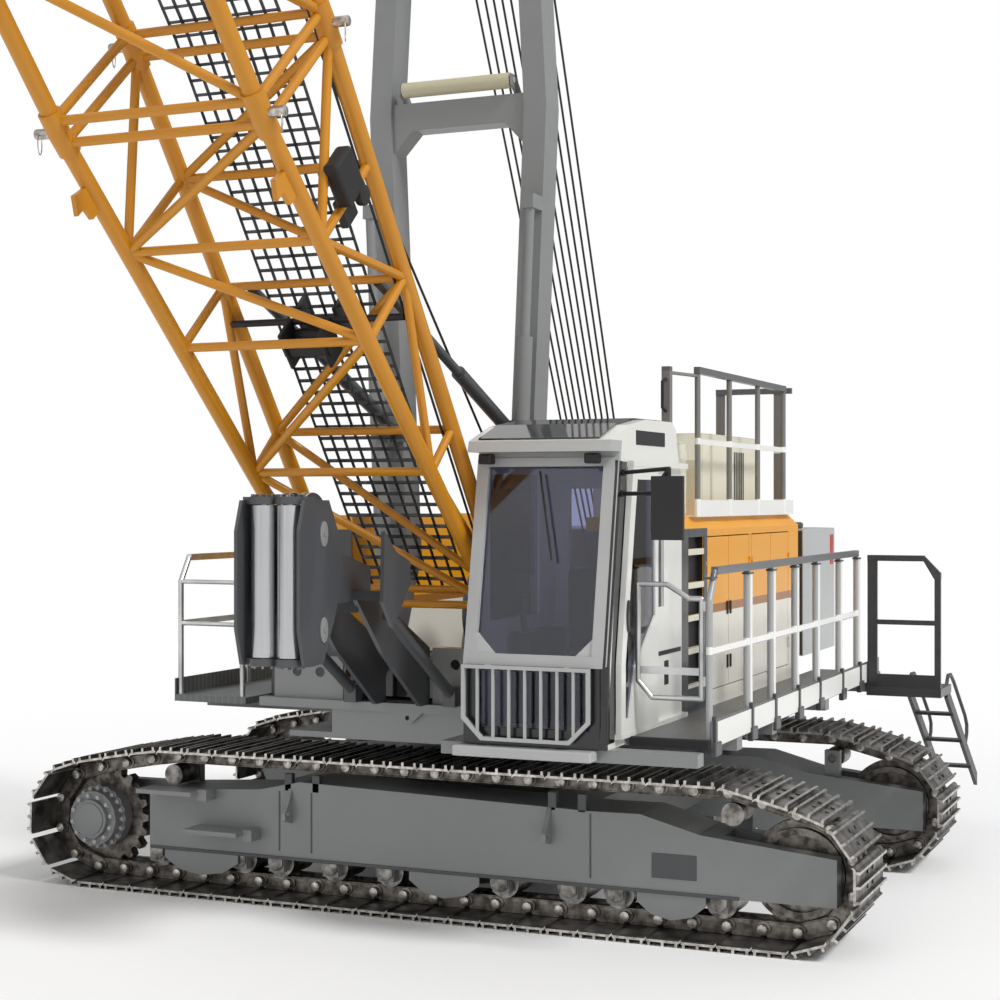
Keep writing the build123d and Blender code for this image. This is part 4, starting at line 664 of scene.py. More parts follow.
# moulded red plastic under a clear gloss
red_lens = coated("red_lamp_lens", "#D0221C", "#B81A16", 0.15, coat=0.8)
lenses = [
    block("side_lens", (x - 0.006, 3.98, 2.22), (x + 0.006, 4.10, 2.50), 0.004) for x in (-1.55, 1.55)
]
lenses += [
    block("rear_lens", (x - 0.05, 4.55, 2.36), (x + 0.05, 4.558, 2.50), 0.003) for x in (-0.9, 0.9)
]
settle(joined("marker_lamps", lenses), "uppercarriage", "black_paint", red_lens)
dome = disc("beacon_socket", (1.30, 3.55, weight_high.z + 0.03), (0, 0, 1), 0.10, 0.06, 24, 0.02)
settle(dome, "uppercarriage", "steel_grey", dark_grey)


# Houses
# Sheet-steel hoods with hinged doors, gloss white up to a brown line and gloss yellow above it,
# with cream air housings on the roof. A dark grey frame holds a tall air opening, and black panels inside it
# paint its shade.
RAMP_HEIGHT = 4.0  # metres from the ground that a banded paint's colours span


def banded(name, bands, roughness, coat=0.15):
    """Paint in level bands, given from the ground up as the height each begins at and its colour."""
    material = coated(name, bands[0][1], bands[0][1], roughness, peel=0.03, coat=coat)
    place = node(material, "ShaderNodeTexCoord").outputs["Object"]
    split = node(material, "ShaderNodeSeparateXYZ", {"Vector": place})
    share = node(
        material, "ShaderNodeMath", {0: split.outputs["Z"], 1: 1 / RAMP_HEIGHT}, operation="MULTIPLY"
    )
    ramp = node(material, "ShaderNodeValToRGB", {"Fac": share.outputs["Value"]}).color_ramp
    ramp.interpolation = "CONSTANT"
    ramp.elements.remove(ramp.elements[1])
    ramp.elements[0].color = colour(bands[0][1])
    for start, code in bands[1:]:
        ramp.elements.new(start / RAMP_HEIGHT).color = colour(code)
    nodes = {n.type: n for n in material.node_tree.nodes}
    paint = nodes["BSDF_PRINCIPLED"].inputs["Base Color"]
    material.node_tree.links.new(nodes["VALTORGB"].outputs["Color"], paint)
    return material


HOOD_BANDS = ((0, "#E9E6DA"), (1.985, "#A0682C"), (2.06, "#EFA520"), (2.703, "#E4E1CD"))
hood_paint = banded("two_tone_hood_enamel", HOOD_BANDS, 0.32)
dress(hood_paint, "house_left", "house_right", *[f"house_door_{k}" for k in range(1, 5)])
# moulded plastic stays dull, and gloss enamel shows sharp lights on black
matt_black = coated("matt_black_plastic", "#17171A", "#101012", 0.5)
gloss_black = coated("gloss_black_enamel", "#0E0E10", "#0A0A0B", 0.18, coat=0.5)
air_white = coated("cream_air_housing_enamel", "#E9E6D2", "#DFDCC8", 0.35, coat=0.2)

# front frames of the hoods: folded grey sheet round the black opening, and cream bars across it.
# Each strip: y from and to, z from and to.
FRAME_STRIPS = (
    (-0.78, -0.61, 1.31, 2.62),
    (-0.24, -0.16, 1.31, 2.62),
    (-0.61, -0.24, 2.56, 2.62),
    (-0.61, -0.24, 1.31, 1.50),
)
for s, side in ((-1, "right"), (1, "left")):
    x = s * 1.620
    parts = []
    for y0, y1, z0, z1 in FRAME_STRIPS:
        low, high = sorted((x, x + s * 0.008))
        parts.append(block("frame", (low, y0, z0), (high, y1, z1), 0.003))
    low, high = sorted((s * 0.93, s * 1.62))
    parts.append(block("frame_front", (low, -0.788, 1.31), (high, -0.780, 2.60), 0.003))
    settle(joined(f"hood_front_frame_{side}", parts), "uppercarriage", "steel_grey", dark_grey)
    parts = []
    for z in (1.760, 1.990, 2.220, 2.455):
        low, high = sorted((x - s * 0.008, x + s * 0.008))
        parts.append(block("bar", (low, -0.61, z - 0.022), (high, -0.24, z + 0.022), 0.004))
    settle(joined(f"air_opening_bars_{side}", parts), "uppercarriage", "house_white", air_white)
# black back panel and jambs inside the opening: painted shade of its depth, hiding the house's inside
opening_shade_panels = [
    block("dark_panel", (1.575, -0.60, 1.52), (1.580, -0.25, 2.60)),
    block("dark_jamb", (1.580, -0.256, 1.52), (1.6195, -0.250, 2.60)),
    block("dark_jamb", (1.580, -0.60, 1.52), (1.6195, -0.594, 2.60)),
    block("dark_panel", (-1.622, -0.61, 1.50), (-1.618, -0.24, 2.56)),
]
settle(joined("air_opening_painted_shade", opening_shade_panels), "uppercarriage", "black_paint", matt_black)

# two latches on each door, beside the edge where the pair meets: they ride with their doors
LEAF, LEAF_GAP = 0.558, 0.008
PAIRS_START, PAIR_PITCH = -0.17, 1.2
door_edges = []
for pair in range(2):
    y = PAIRS_START + PAIR_PITCH * pair + LEAF_GAP
    door_edges += [y + LEAF, y + LEAF + LEAF_GAP]
for k, y in enumerate(door_edges, 1):
    mid = y + (-0.035 if k % 2 else 0.035)
    parts = [
        block("latch", (1.620, mid - 0.014, z - 0.05), (1.632, mid + 0.014, z + 0.05), 0.006)
        for z in (1.62, 2.02)
    ]
    settle(joined(f"door_latches_{k}", parts), f"house_door_{k}", "black_paint", matt_black)

# cream sheets on the near roof's air housings, and dark slats on the side of the longer one
parts = []
HOUSING_SIDE = 1.425
for y0, y1, top in ((-0.640, -0.040, 3.230), (0.260, 1.900, 3.320)):
    parts.append(
        block("side", (HOUSING_SIDE, y0 + 0.10, 2.72), (HOUSING_SIDE + 0.006, y1, top - 0.06), 0.004)
    )
    parts.append(block("top", (0.93, y0 + 0.14, top), (HOUSING_SIDE, y1, top + 0.006), 0.004))
    parts.append(block("end", (0.93, y1, 2.70), (HOUSING_SIDE, y1 + 0.006, top), 0.004))
settle(joined("air_housing_sheets", parts), "uppercarriage", "house_white", air_white)
grille = [
    block("slat", (1.431, 1.20 + 0.05 * k, 2.78), (1.437, 1.215 + 0.05 * k, 3.20)) for k in range(6)
]
settle(joined("air_housing_slats", grille), "uppercarriage", "black_paint", dark_grey)


# Cab
# A pressed-steel cab with a leaning windscreen in a pale grey frame, a gloss white side and
# roof rim, a black corner pillar, and tinted panes bonded in. Inside are a cloth seat and two
# black consoles.

# gloss enamel on pressed panels: smooth, with clear reflections
cab_white = coated("white_cab_enamel", "#EDEDE8", "#E4E4DE", 0.22, peel=0.02, coat=0.3)
dress(cab_white, "cab_door")
LEAN = 0.240 / 1.305  # of the front, back for each metre up
LEAN_FROM = 1.815  # height over the ground


def front_y(z):
    """The cab's front face at a height: upright at first, then leaning back."""
    return -2.440 + LEAN * max(0, z - LEAN_FROM)


def cab_zones():
    """White enamel, but pale grey on the leaning front face and black below the windscreen."""
    material = coated("white_cab_enamel_with_grey_front", "#EDEDE8", "#E4E4DE", 0.22, peel=0.02, coat=0.3)
    place = node(material, "ShaderNodeTexCoord").outputs["Object"]
    split = node(material, "ShaderNodeSeparateXYZ", {"Vector": place})
    over = node(material, "ShaderNodeMath", {0: split.outputs["Z"], 1: LEAN_FROM}, operation="SUBTRACT")
    risen = node(material, "ShaderNodeMath", {0: over.outputs["Value"], 1: 0.0}, operation="MAXIMUM")
    back = node(material, "ShaderNodeMath", {0: risen.outputs["Value"], 1: LEAN}, operation="MULTIPLY")
    plumb = node(
        material, "ShaderNodeMath", {0: split.outputs["Y"], 1: back.outputs["Value"]}, operation="SUBTRACT"
    )
    ahead = node(material, "ShaderNodeMath", {0: plumb.outputs["Value"], 1: -2.415}, operation="LESS_THAN")
    low = node(material, "ShaderNodeMath", {0: split.outputs["Z"], 1: 1.812}, operation="LESS_THAN")
    under = node(material, "ShaderNodeMath", {0: split.outputs["Z"], 1: 3.189}, operation="LESS_THAN")
    face = node(
        material,
        "ShaderNodeMath",
        {0: ahead.outputs["Value"], 1: under.outputs["Value"]},
        operation="MULTIPLY",
    )
    front = node(
        material,
        "ShaderNodeMix",
        {"Factor": low.outputs["Value"], "A": colour("#B4B6B5"), "B": colour("#1B1C1E")},
        data_type="RGBA",
    )
    nodes = {n.type: n for n in material.node_tree.nodes}
    shader = nodes["BSDF_PRINCIPLED"]
    white = shader.inputs["Base Color"].links[0].from_socket
    whole = node(
        material,
        "ShaderNodeMix",
        {"Factor": face.outputs["Value"], "A": white, "B": front.outputs["Result"]},
        data_type="RGBA",
    )
    material.node_tree.links.new(whole.outputs["Result"], shader.inputs["Base Color"])
    return material


dress(cab_zones(), "cab_shell")
dress(matt_black, "cab_console", "cab_mirror")
dress(pale_grey, "cab_guard")


def tinted_glass(name, tint):
    """Tinted safety glass: clear, a little blue-grey, with a mirror-smooth face."""
    material = bare_material(name)
    place = node(material, "ShaderNodeTexCoord").outputs["Object"]
    wave = node(material, "ShaderNodeTexNoise", {"Vector": place, "Scale": 3.0})
    bump = node(
        material, "ShaderNodeBump", {"Height": wave.outputs["Fac"], "Strength": 0.02, "Distance": 0.01}
    )
    gloss = node(
        material,
        "ShaderNodeBsdfGlossy",
        {"Color": (1, 1, 1, 1), "Roughness": 0.02, "Normal": bump.outputs["Normal"]},
    )
    clear = node(material, "ShaderNodeBsdfTransparent", {"Color": colour(tint)})
    rim = node(material, "ShaderNodeFresnel", {"IOR": 1.5, "Normal": bump.outputs["Normal"]})
    glazed = node(
        material,
        "ShaderNodeMixShader",
        {"Fac": rim.outputs["Fac"], 1: clear.outputs["BSDF"], 2: gloss.outputs["BSDF"]},
    )
    node(material, "ShaderNodeOutputMaterial", {"Surface": glazed.outputs["Shader"]})
    return material


dress(tinted_glass("tinted_safety_glass", "#D6D8E6"), "cab_glass", "cab_door_glass")

# dark glass skin that follows the roof from the front lip to the back, and a matt black strip that paints
# the shade of a recess in its side.
# Each corner of the roof's line: y, z.
ROOF_LINE = ((-2.36, 3.190), (-2.05, 3.290), (-1.72, 3.335), (-1.17, 3.340), (-1.08, 3.290))
roof_glass = block("roof_glass_skin", (0.800, -2.345, 0.004), (1.610, -1.150, 0.012))
bpy.ops.object.mode_set(mode="EDIT")
cut_across([y for y, z in ROOF_LINE[1:4]], (0, 1, 0))
bpy.ops.object.mode_set(mode="OBJECT")
for vertex in roof_glass.data.vertices:
    for (y0, z0), (y1, z1) in zip(ROOF_LINE, ROOF_LINE[1:]):
        if y0 <= vertex.co.y <= y1 + 1e-4:
            vertex.co.z += z0 + (z1 - z0) * (vertex.co.y - y0) / (y1 - y0)
            break
# black glass mirrors the light and shows nothing behind it
roof_black = coated("black_roof_glass", "#14171B", "#0F1215", 0.06, peel=0.01, coat=0.6)
settle(roof_glass, "uppercarriage", "glass", roof_black)
# matt black strip: painted shade of the recess in the cab's side under the roof
roof_gap = block("roof_side_painted_shade", (1.688, -1.900, 3.170), (1.6945, -1.330, 3.262), 0.003)
settle(roof_gap, "uppercarriage", "black_paint", matt_black)


def leaning_strip(name, x0, x1, z0, z1, proud):
    """A flat strip on the leaning front between two heights."""
    piece = block(name, (x0, -proud, 0), (x1, 0, 1))
    for vertex in piece.data.vertices:
        z = z0 + (z1 - z0) * vertex.co.z
        vertex.co.y += front_y(z)
        vertex.co.z = z
    return piece


# windscreen frame: four pale grey strips that stand proud of the leaning front
parts = [
    leaning_strip("frame", 0.742, 0.820, 1.800, 3.070, 0.012),
    leaning_strip("frame", 1.592, 1.668, 1.800, 3.070, 0.012),
    leaning_strip("frame", 0.742, 1.668, 1.800, 1.870, 0.013),
    leaning_strip("frame", 0.742, 1.668, 3.030, 3.085, 0.013),
]
settle(joined("windscreen_frame", parts), "uppercarriage", "steel_grey", pale_grey)


# black corner pillar, round, from the floor to the roof, with a flat cheek behind it
def bent_tube(name, points, radius, sides=12):
    """A tube along straight runs, from a curve with a round section."""
    deselect()
    curve = bpy.data.curves.new(name, "CURVE")
    curve.dimensions = "3D"
    curve.bevel_depth = radius
    curve.bevel_resolution = max(0, sides // 4 - 1)
    curve.use_fill_caps = True
    spline = curve.splines.new("POLY")
    spline.points.add(len(points) - 1)
    for point, at in zip(spline.points, points):
        point.co = (*at, 1)
    piece = bpy.data.objects.new(name, curve)
    bpy.context.scene.collection.objects.link(piece)
    piece.select_set(True)
    bpy.context.view_layer.objects.active = piece
    bpy.ops.object.convert(target="MESH")
    bpy.ops.object.shade_smooth_by_angle(angle=math.radians(40))
    return bpy.context.active_object


pillar = bent_tube(
    "corner_pillar", [(1.664, front_y(z) + 0.030, z) for z in (1.345, 1.815, 3.060)], 0.036, 24
)
cheek = block("pillar_cheek", (1.6895, 0.0, 0.0), (1.6912, 0.120, 1.0))
for vertex in cheek.data.vertices:
    z = 1.34 + 1.72 * vertex.co.z
    vertex.co.y += front_y(z) + 0.02
    vertex.co.z = z
settle(joined("black_corner_pillar", [pillar, cheek]), "uppercarriage", "black_paint", gloss_black)

# two work lamps under the roof's front lip, and the wiper's arm on the windscreen
lamps = [
    block("lamp", (x - 0.045, -2.345, 3.045), (x + 0.045, -2.265, 3.110), 0.012) for x in (0.84, 1.55)
]
wiper = bent_tube(
    "wiper_arm", [(1.18, front_y(3.0) - 0.03, 3.0), (1.30, front_y(2.45) - 0.035, 2.45)], 0.007
)
settle(joined("lamps_and_wiper", [*lamps, wiper]), "uppercarriage", "black_paint", matt_black)


def stretched(piece, centre, factors):
    """Stretches a piece's mesh about a point."""
    away = Matrix.Translation(centre)
    piece.data.transform(away @ Matrix.Diagonal((*factors, 1)) @ away.inverted())
    return piece


# oval door handle, and the handle and rubbing strip of the panel behind the door
GRIP = (1.738, -2.175, 2.105)
handle = disc("door_handle", GRIP, (1, 0, 0), 0.050, 0.014, 24, 0.005)
stretched(handle, GRIP, (1, 0.55, 2.0))
settle(handle, "cab_door", "black_paint", gloss_black)
recess = block("panel_handle", (1.688, -1.335, 1.60), (1.691, -1.245, 1.76))
rub = block("panel_rub_strip", (1.688, -1.50, 1.80), (1.691, -0.98, 1.83))
settle(joined("rear_panel_fittings", [recess, rub]), "uppercarriage", "black_paint", matt_black)

# seat: a cushion, a backrest and a headrest of foam under woven cloth, on a pedestal.
# The weave makes the cloth dull, with a coarse skin that is drawn at 5 mm so that it shows
seat_cloth = coated("woven_seat_cloth", "#2A2B2E", "#1E1F22", 0.85, grain_mm=5, patch_mm=90, peel=0.6)
PADS = (
    ((0.975, -1.73, 1.665), (1.455, -1.24, 1.775)),
    ((0.985, -1.30, 1.80), (1.445, -1.14, 2.36)),
    ((1.08, -1.22, 2.38), (1.35, -1.13, 2.455)),
)
SEAT_LEAN = 0.13 / 0.68 * 0.4  # back for each metre up
parts = []
for low, high in PADS:
    pad = block("pad", low, high, 0.03)
    pad.modifiers.new("crown", "SUBSURF").levels = 2
    pad.modifiers["crown"].render_levels = 2
    deselect()
    bpy.context.view_layer.objects.active = pad
    bpy.ops.object.modifier_apply(modifier="crown")
    over_cushion = low[2] - 1.78
    if over_cushion > 0:
        pad.data.transform(Matrix.Translation((0, SEAT_LEAN * over_cushion, 0)))
    parts.append(pad)
parts.append(block("pedestal", (1.05, -1.65, 1.366), (1.38, -1.29, 1.665), 0.02))

# a lever with its knob on each console, and a screen on an arm at the near one
levers = []
for x in (0.885, 1.545):
    levers.append(bent_tube("lever", [(x, -1.80, 1.94), (x, -1.81, 2.08), (x, -1.80, 2.14)], 0.011))
    levers.append(block("knob", (x - 0.024, -1.83, 2.10), (x + 0.024, -1.775, 2.21), 0.014))
levers.append(block("screen", (1.42, -2.02, 2.06), (1.60, -1.98, 2.20), 0.010))
SCREEN_ARM = [(1.545, -1.86, 1.90), (1.53, -1.98, 2.02), (1.51, -1.985, 2.08)]
levers.append(bent_tube("screen_arm", SCREEN_ARM, 0.012))
settle(joined("cab_levers_and_screen", levers), "uppercarriage", "black_paint", matt_black)
screen_face = block("screen_face", (1.435, -1.981, 2.075), (1.585, -1.978, 2.185))
settle(screen_face, "uppercarriage", "steel_grey", pale_grey)
seat = settle(joined("driver_seat", parts), "uppercarriage", "seat_cloth", seat_cloth)
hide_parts("cab_seat")


# Walkways, rails and steps
# Pressed tread plate on steel sills, square posts in clamps, and a gate of bent tube. The rails
# are aluminium, bare or anodised, and the landing and its ladder are sprayed dark grey.

# drawn aluminium shines softly and evenly
bright_rail = bare_metal("bare_aluminium_rail", "#D4D5D4", "#A9ABAB", 0.32, patch_mm=300, grain_mm=2)


def tread_plate(name):
    """Pressed tread plate: rows of small raised studs, about 40 mm apart, on matt aluminium."""
    material = bare_material(name)
    place = node(material, "ShaderNodeTexCoord").outputs["Object"]
    turned = node(material, "ShaderNodeMapping", {"Vector": place, "Rotation": (0, 0, math.radians(45))})
    # a wave of scale 8 repeats each 39 mm
    waves = [
        node(
            material,
            "ShaderNodeTexWave",
            {"Vector": turned.outputs["Vector"], "Scale": 8.0},
            bands_direction=direction,
        )
        for direction in ("X", "Y")
    ]
    raised = node(
        material,
        "ShaderNodeMath",
        {0: waves[0].outputs["Fac"], 1: waves[1].outputs["Fac"]},
        operation="MULTIPLY",
    )
    bump = node(
        material,
        "ShaderNodeBump",
        {"Height": raised.outputs["Value"], "Strength": 0.5, "Distance": 0.003},
    )
    tone = node(
        material,
        "ShaderNodeMix",
        {"Factor": raised.outputs["Value"], "A": colour("#6E7071"), "B": colour("#8E9091")},
        data_type="RGBA",
    )
    shader = node(
        material,
        "ShaderNodeBsdfPrincipled",
        {
            "Base Color": tone.outputs["Result"],
            "Metallic": 0.8,
            "Roughness": 0.45,
            "Normal": bump.outputs["Normal"],
        },
    )
    node(material, "ShaderNodeOutputMaterial", {"Surface": shader.outputs["BSDF"]})
    return material


dress(tread_plate("pressed_tread_plate"), "walkway_left", "walkway_right")
dress(bright_rail, "railing_right", "gate")
# near rail: anodised grey with one pale tube and a dark cap. Roof rail: grey with white boards
RAIL_BANDS = ((0, "#A9ABAB"), (1.862, "#EEEEEC"), (1.918, "#A4A6A6"), (2.335, "#626466"))
dress(banded("anodised_rail_with_grey_cap", RAIL_BANDS, 0.34), "railing_left")
ROOF_RAIL_BANDS = (
    (0, "#F0F0ED"),
    (2.822, "#7B7975"),
    (3.215, "#EFEFEC"),
    (3.265, "#7B7975"),
    (3.71, "#5E6062"),
)
dress(banded("grey_roof_rail_with_white_boards", ROOF_RAIL_BANDS, 0.34), "roof_rails")
# anthracite enamel, half glossy
landing_paint = coated("anthracite_enamel", "#3E3F41", "#343537", 0.35, coat=0.2)
dress(landing_paint, "stair_platform", "ladder")

# clamp blocks at the feet and heads of the near posts, white doubles beside the posts, the white
# toe board, the rubber bumper on the walkway's front end and the beam under the cab's front
POSTS = (-2.060, -1.230, -0.640, 0.010, 0.640, 1.390, 2.030)
x = 2.220  # of the near posts
parts = []
for y in POSTS:
    parts.append(block("clamp", (x + 0.012, y - 0.030, 1.25), (x + 0.052, y + 0.100, 1.34), 0.008))
    parts.append(block("clamp", (x + 0.018, y - 0.012, 1.33), (x + 0.046, y + 0.030, 1.50), 0.006))
    parts.append(block("clamp", (x - 0.026, y - 0.026, 2.336), (x + 0.026, y + 0.090, 2.350), 0.005))
settle(joined("post_clamps_left", parts), "uppercarriage", "black_paint", dark_grey)
doubles = [
    block("double", (x - 0.020, y + 0.030, 1.37), (x + 0.020, y + 0.078, 2.355), 0.005) for y in POSTS[1:]
]
toe_white = coated("white_toe_board_enamel", "#F2F2EF", "#E8E8E4", 0.3)
settle(joined("post_doubles_left", doubles), "uppercarriage", "rail_metal", toe_white)
toe = block("toe_board_left", (2.2505, -2.06, 1.31), (2.256, 2.28, 1.46), 0.002)
settle(toe, "uppercarriage", "rail_metal", toe_white)
bumper = block("walkway_bumper", (1.72, -2.125, 1.295), (2.24, -2.101, 1.36), 0.008)
settle(bumper, "uppercarriage", "black_paint", matt_black)
cab_beam = block("cab_front_beam", (0.70, -2.53, 1.235), (1.62, -2.40, 1.300), 0.010)
settle(cab_beam, "uppercarriage", "steel_grey", pale_grey)


# grab rails beside the ladder and a black loop on the roof post
def on_ladder(x, share, lift):
    """A point on a stringer: share of the way down it, and lift out from its middle."""
    return (x + 0.12 * share, 2.80 + 0.80 * share + 0.724 * lift, 1.26 - 0.84 * share + 0.690 * lift)


# each point of a grab rail: share of the way down the ladder, lift out from its stringer
GRAB = (
    (0.05, 0.05),
    (0.05, 0.16),
    (0.10, 0.22),
    (0.20, 0.24),
    (0.58, 0.24),
    (0.66, 0.21),
    (0.69, 0.14),
    (0.69, 0.05),
)
grabs = [bent_tube("grab", [on_ladder(x, s, lift) for s, lift in GRAB], 0.016) for x in (2.490, 2.800)]
settle(joined("ladder_grab_rails", grabs), "uppercarriage", "rail_metal", landing_paint)
POST_LOOP = [(1.50, -0.73, 3.66), (1.50, -0.80, 3.64), (1.50, -0.80, 3.46), (1.50, -0.73, 3.44)]
post_loop = bent_tube("roof_post_loop", POST_LOOP, 0.012)
settle(post_loop, "uppercarriage", "black_paint", matt_black)


# Rope guide
# Two ground steel rollers stand between bolted caps in a yoke of dark plate, with two pale
# plastic sheaves behind them.

# grinding leaves an even, bright steel whose grain runs along the rollers
ground_steel = bare_metal(
    "ground_roller_steel", "#D2D3D5", "#B4B5B7", 0.22, patch_mm=400, grain_mm=2, stretch=(1, 1, 0.1)
)
# graphite enamel on thick plate, dark with a slight gloss
yoke_paint = coated("graphite_enamel", "#4B4D50", "#424447", 0.36, coat=0.25)
dress(ground_steel, "fairlead_roller_right", "fairlead_roller_left")
dress(yoke_paint, "fairlead_frame")
ROLLER_Y, CAP_RING = -3.45, 0.072
bolts = []
for x in (-0.09, 0.09):
    for k in range(8):
        a = math.radians(45 * k + 22)
        across, ahead = x + CAP_RING * math.cos(a), ROLLER_Y + CAP_RING * math.sin(a)
        for z, up in ((2.840, 1), (1.844, -1)):
            bolts.append(facing((across, ahead, z), (0, 0, up)))
cap_bolts = repeated(bolt_head("guide_cap_bolts", 0.022, 0.012), bolts)
settle(cap_bolts, "uppercarriage", "bright_steel", roller_steel)

# oval bosses with an eye on the yoke's sides, and a gloss black block that paints the shade of the recessed
# bay behind it
bosses = []
for x in (-0.226, 0.226):
    for y, z in ((-3.30, 2.62), (-3.30, 2.05)):
        boss = disc("boss", (x, y, z), (1, 0, 0), 0.045, 0.012, 24, 0.004)
        bosses.append(stretched(boss, (x, y, z), (1, 1, 1.7)))
        bosses.append(disc("eye", (x * 1.03, y, z), (1, 0, 0), 0.016, 0.012, 12, 0.003))
settle(joined("guide_plate_bosses", bosses), "uppercarriage", "steel_grey", machine_grey)
# gloss black block: painted shade of the recess with machinery behind the yoke
bay = block("front_bay_painted_shade", (-0.38, -1.68, 1.452), (0.30, -1.28, 1.800), 0.03)
settle(bay, "uppercarriage", "black_paint", gloss_black)

# rims of the two sheaves: cast nylon is pale and dull
sheave_plastic = coated("beige_cast_nylon", "#C9C3A6", "#BDB799", 0.5)
parts = []
for x in (-0.065, 0.065):
    for side in (-1, 1):
        parts.append(disc("rim", (x + side * 0.022, -3.195, 2.700), (1, 0, 0), 0.167, 0.014, 40, 0.004))
settle(joined("guide_sheave_rims", parts), "uppercarriage", "roller_beige", sheave_plastic)


# Boom
# Welded tube lattice in three sections, pinned at the chord ends, sprayed chrome yellow.
# A walkway of dark open grating lies on its back, and the joint pins carry spring rings.

# chrome enamel is deep yellow and glossy, with wide patches that hardly show
boom_yellow = coated("chrome_yellow_enamel", "#CE8B0B", "#BF7D07", 0.33, patch_mm=900, peel=0.03, coat=0.15)
dress(boom_yellow, "boom_foot", "boom_insert", "boom_head")
dress(gloss_black, "boom_sheaves", "mast_sheaves")
TILT = math.radians(47.4)
ALONG = Vector((0, -math.cos(TILT), math.sin(TILT)))
BACK = Vector((0, math.sin(TILT), math.cos(TILT)))
HINGE = Vector((0, -1.143, 1.622))
BOOM_TURN = Matrix(((1, 0, 0, 0), (0, BACK.y, ALONG.y, 0), (0, BACK.z, ALONG.z, 0), (0, 0, 0, 1)))


def on_boom(x, n, s):
    """A point x across, n to the back and s along the boom."""
    return HINGE + Vector((x, 0, 0)) + BACK * n + ALONG * s


def boom_block(name, low, high, bevel=0.0):
    """A block between two corners given across, to the back and along the boom."""
    piece = block(name, low, high, bevel)
    piece.data.transform(Matrix.Translation(HINGE) @ BOOM_TURN)
    return piece


# grating: bars about 30 mm high in a 90 mm mesh, which follows the boom's back
FOOT_END, INSERT_END, GRATE_START, GRATE_END = 4.750, 7.750, 0.705, 11.250
LIFT, MESH = 0.0275, 0.090


def back_depth(s):
    """Depth of the boom's back face behind its axis, at a distance along it."""
    if s < FOOT_END:
        return 0.460 * s / FOOT_END
    return 0.460 if s < INSERT_END else 0.460 - 0.200 * (s - INSERT_END) / 5.0


cross = block("grating", (-0.360, -0.002, -0.0025), (0.360, 0.028, 0.0025))
stations = [GRATE_START + MESH * k for k in range(int((GRATE_END - GRATE_START) / MESH))]
rungs = [Matrix.Translation(on_boom(0, back_depth(s) + LIFT, s)) @ BOOM_TURN for s in stations]
bars = [repeated(cross, rungs)]
for s0, s1 in ((0.700, FOOT_END), (FOOT_END, INSERT_END), (INSERT_END, GRATE_END)):
    for k in range(9):
        x = -0.360 + MESH * k
        bar = block("bar", (x - 0.0025 if k else x, 0.0, 0.0), (x + 0.0025, 0.0275, 1.0))
        for vertex in bar.data.vertices:
            s = s0 + (s1 - s0) * vertex.co.z
            vertex.co = on_boom(vertex.co.x, back_depth(s) + LIFT + vertex.co.y, s)
        bars.append(bar)
grating = joined("boom_grating", bars)
# weathered zinc is dark, dull and blotchy
dark_zinc = bare_metal("dark_galvanised_steel", "#5A5B5C", "#333435", 0.5, patch_mm=120)
settle(grating, "boom", "grating", dark_zinc)
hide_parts("boom_walkway")

# bright pins through the chord ends, each with a spring ring of wire
parts, rings = [], []
for s in (FOOT_END, INSERT_END):
    for sx in (-1, 1):
        for n in (-0.460, 0.460):
            mid = on_boom(sx * 0.7125, n, s)
            parts.append(disc("pin", mid, (1, 0, 0), 0.030, 0.135, 16, 0.006))
            rings.append(mid + Vector((sx * 0.045, 0, 0)))
settle(joined("boom_joint_pins", parts), "boom", "bright_steel", pin_steel)


def spring_ring(centre, axis, radius, wire=0.003):
    """A ring bent from wire."""
    deselect()
    turn = Vector(axis).to_track_quat("Z", "Y").to_euler()
    bpy.ops.mesh.primitive_torus_add(
        location=centre,
        rotation=turn,
        major_radius=radius,
        minor_radius=wire,
        major_segments=28,
        minor_segments=6,
    )
    ring = bpy.context.active_object
    bpy.ops.object.transform_apply(location=True, rotation=True, scale=True)
    return ring


RING = 0.055  # radius
hoops = [spring_ring(at - Vector((0, 0, RING)), (1, 0.5, 0), RING) for at in rings]
settle(joined("boom_pin_rings", hoops), "boom", "bright_steel", pin_steel)

# rope rollers in black brackets across the boom, a box hung on its near side, and the black
# cable that follows the near back chord from the foot to the head
parts = []
for x in (-0.17, 0.10):
    for n in (0.10, 0.36):
        parts.append(boom_block("bracket", (x - 0.012, n - 0.10, 2.72), (x + 0.012, n + 0.09, 2.98), 0.01))
parts.append(boom_block("plate", (-0.20, 0.02, 2.80), (0.13, 0.05, 2.90), 0.008))
for n in (0.16, 0.30):
    parts.append(disc("roller", on_boom(-0.035, n, 2.85), (1, 0, 0), 0.055, 0.24, 24, 0.01))
parts.append(disc("cross_tube", on_boom(0, 0.20, 2.94), (1, 0, 0), 0.022, 1.20, 16))
parts.append(boom_block("box", (0.640, -0.13, 3.93), (0.735, 0.10, 4.20), 0.02))
parts.append(boom_block("box_arm", (0.600, -0.10, 3.78), (0.650, 0.06, 3.95), 0.01))
parts.append(disc("box_round", on_boom(0.715, 0.05, 3.90), (1, 0, 0), 0.060, 0.05, 24, 0.01))
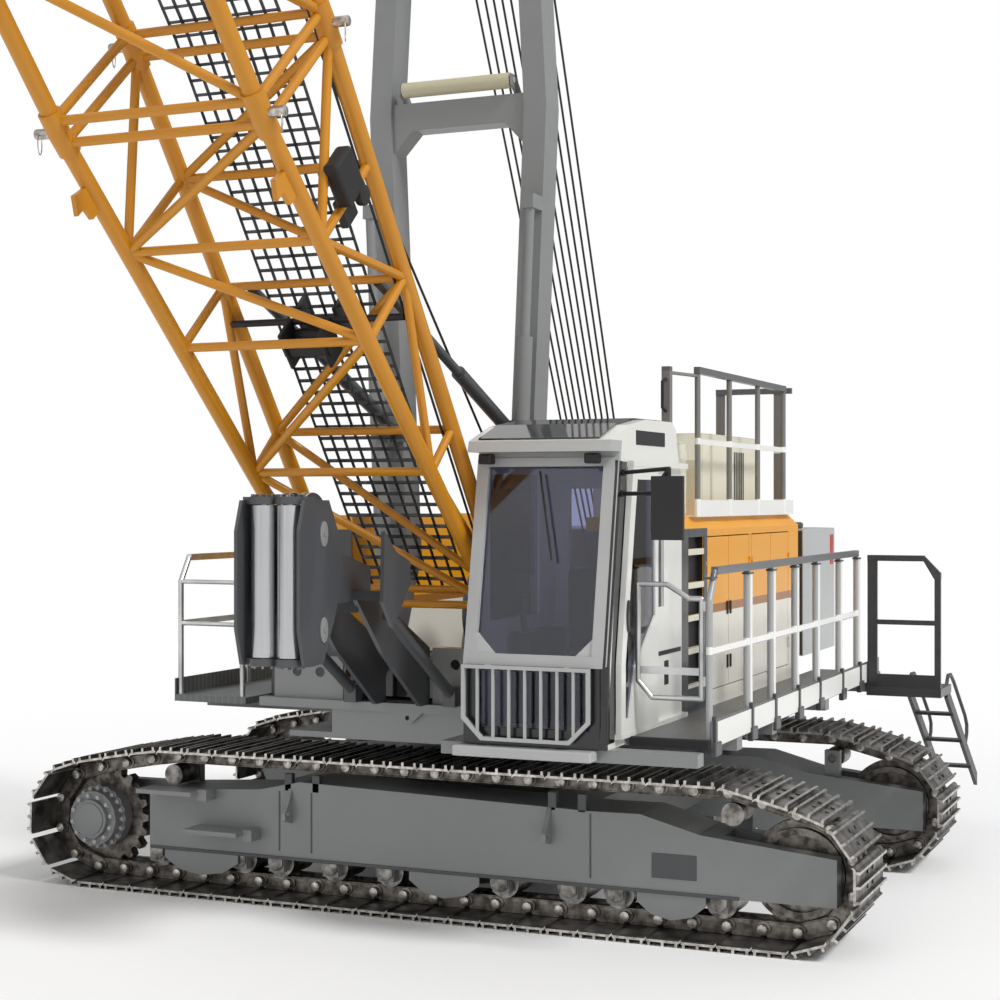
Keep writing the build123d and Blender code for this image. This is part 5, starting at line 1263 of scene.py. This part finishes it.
settle(joined("boom_rope_rollers", parts), "boom", "black_paint", matt_black)
cable_line = [
    on_boom(0.33, 0.245, 12.0),
    on_boom(0.585, 0.415, INSERT_END),
    on_boom(0.585, 0.415, FOOT_END),
    on_boom(0.585, 0.06, 1.0),
]
settle(bent_tube("boom_cable", cable_line, 0.009, 8), "boom", "black_paint", matt_black)


# Mast
# The upright frame behind the boom: two tapered box legs joined by a curved cross beam that
# carries a pale rope roller, with hydraulic struts in front of the legs.
dress(machine_grey, "mast_leg_right", "mast_leg_left", "mast_beam", "mast_head", "roller_brackets")
dress(machine_grey, "mast_jacks")
dress(sheave_plastic, "mast_roller")
dress(dark_grey, "backstops")
# rolled steel bars, dull and dark
stay_steel = bare_metal("stay_bar_steel", "#6B6A68", "#4A4948", 0.45)
dress(stay_steel, "pendants")


# Ropes
# Ten falls of luffing rope run from the rear winch to the mast's head, and one hoist rope from
# the front winch to the boom's head. All are 18 mm steel rope, pulled straight. A rope that
# reaches from body to body hangs on neither.
def straight_rope(name, start, end, radius=0.009):
    """A taut rope between two points."""
    a, b = Vector(start), Vector(end)
    return disc(name, (a + b) / 2, b - a, radius, (b - a).length, 10)


LUFF_FOOT = Vector((0, 2.42, 2.13))
LUFF_HEAD = Vector((0, -0.83, 8.24))
FALLS, FALL_PITCH = 10, 0.08
falls = []
for k in range(FALLS):
    x = -0.36 + FALL_PITCH * k
    foot = (0.62 * x, LUFF_FOOT.y - 0.01 * k, LUFF_FOOT.z)
    head = (x, LUFF_HEAD.y + 0.19, LUFF_HEAD.z)
    falls.append(straight_rope("fall", foot, head))
luffing = settle(joined("luffing_ropes", falls), "uppercarriage", "black_paint", rope_black)
luffing.parent = None
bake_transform(luffing)
BOOM_LENGTH = 12.75
tip = on_boom(0, 0, BOOM_LENGTH)
hoist = straight_rope("hoist_rope", (0.225, 0.18, 2.20), (0.225, tip.y + 0.20, tip.z + 0.24))
settle(hoist, "uppercarriage", "black_paint", rope_black)
hoist.parent = None
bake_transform(hoist)
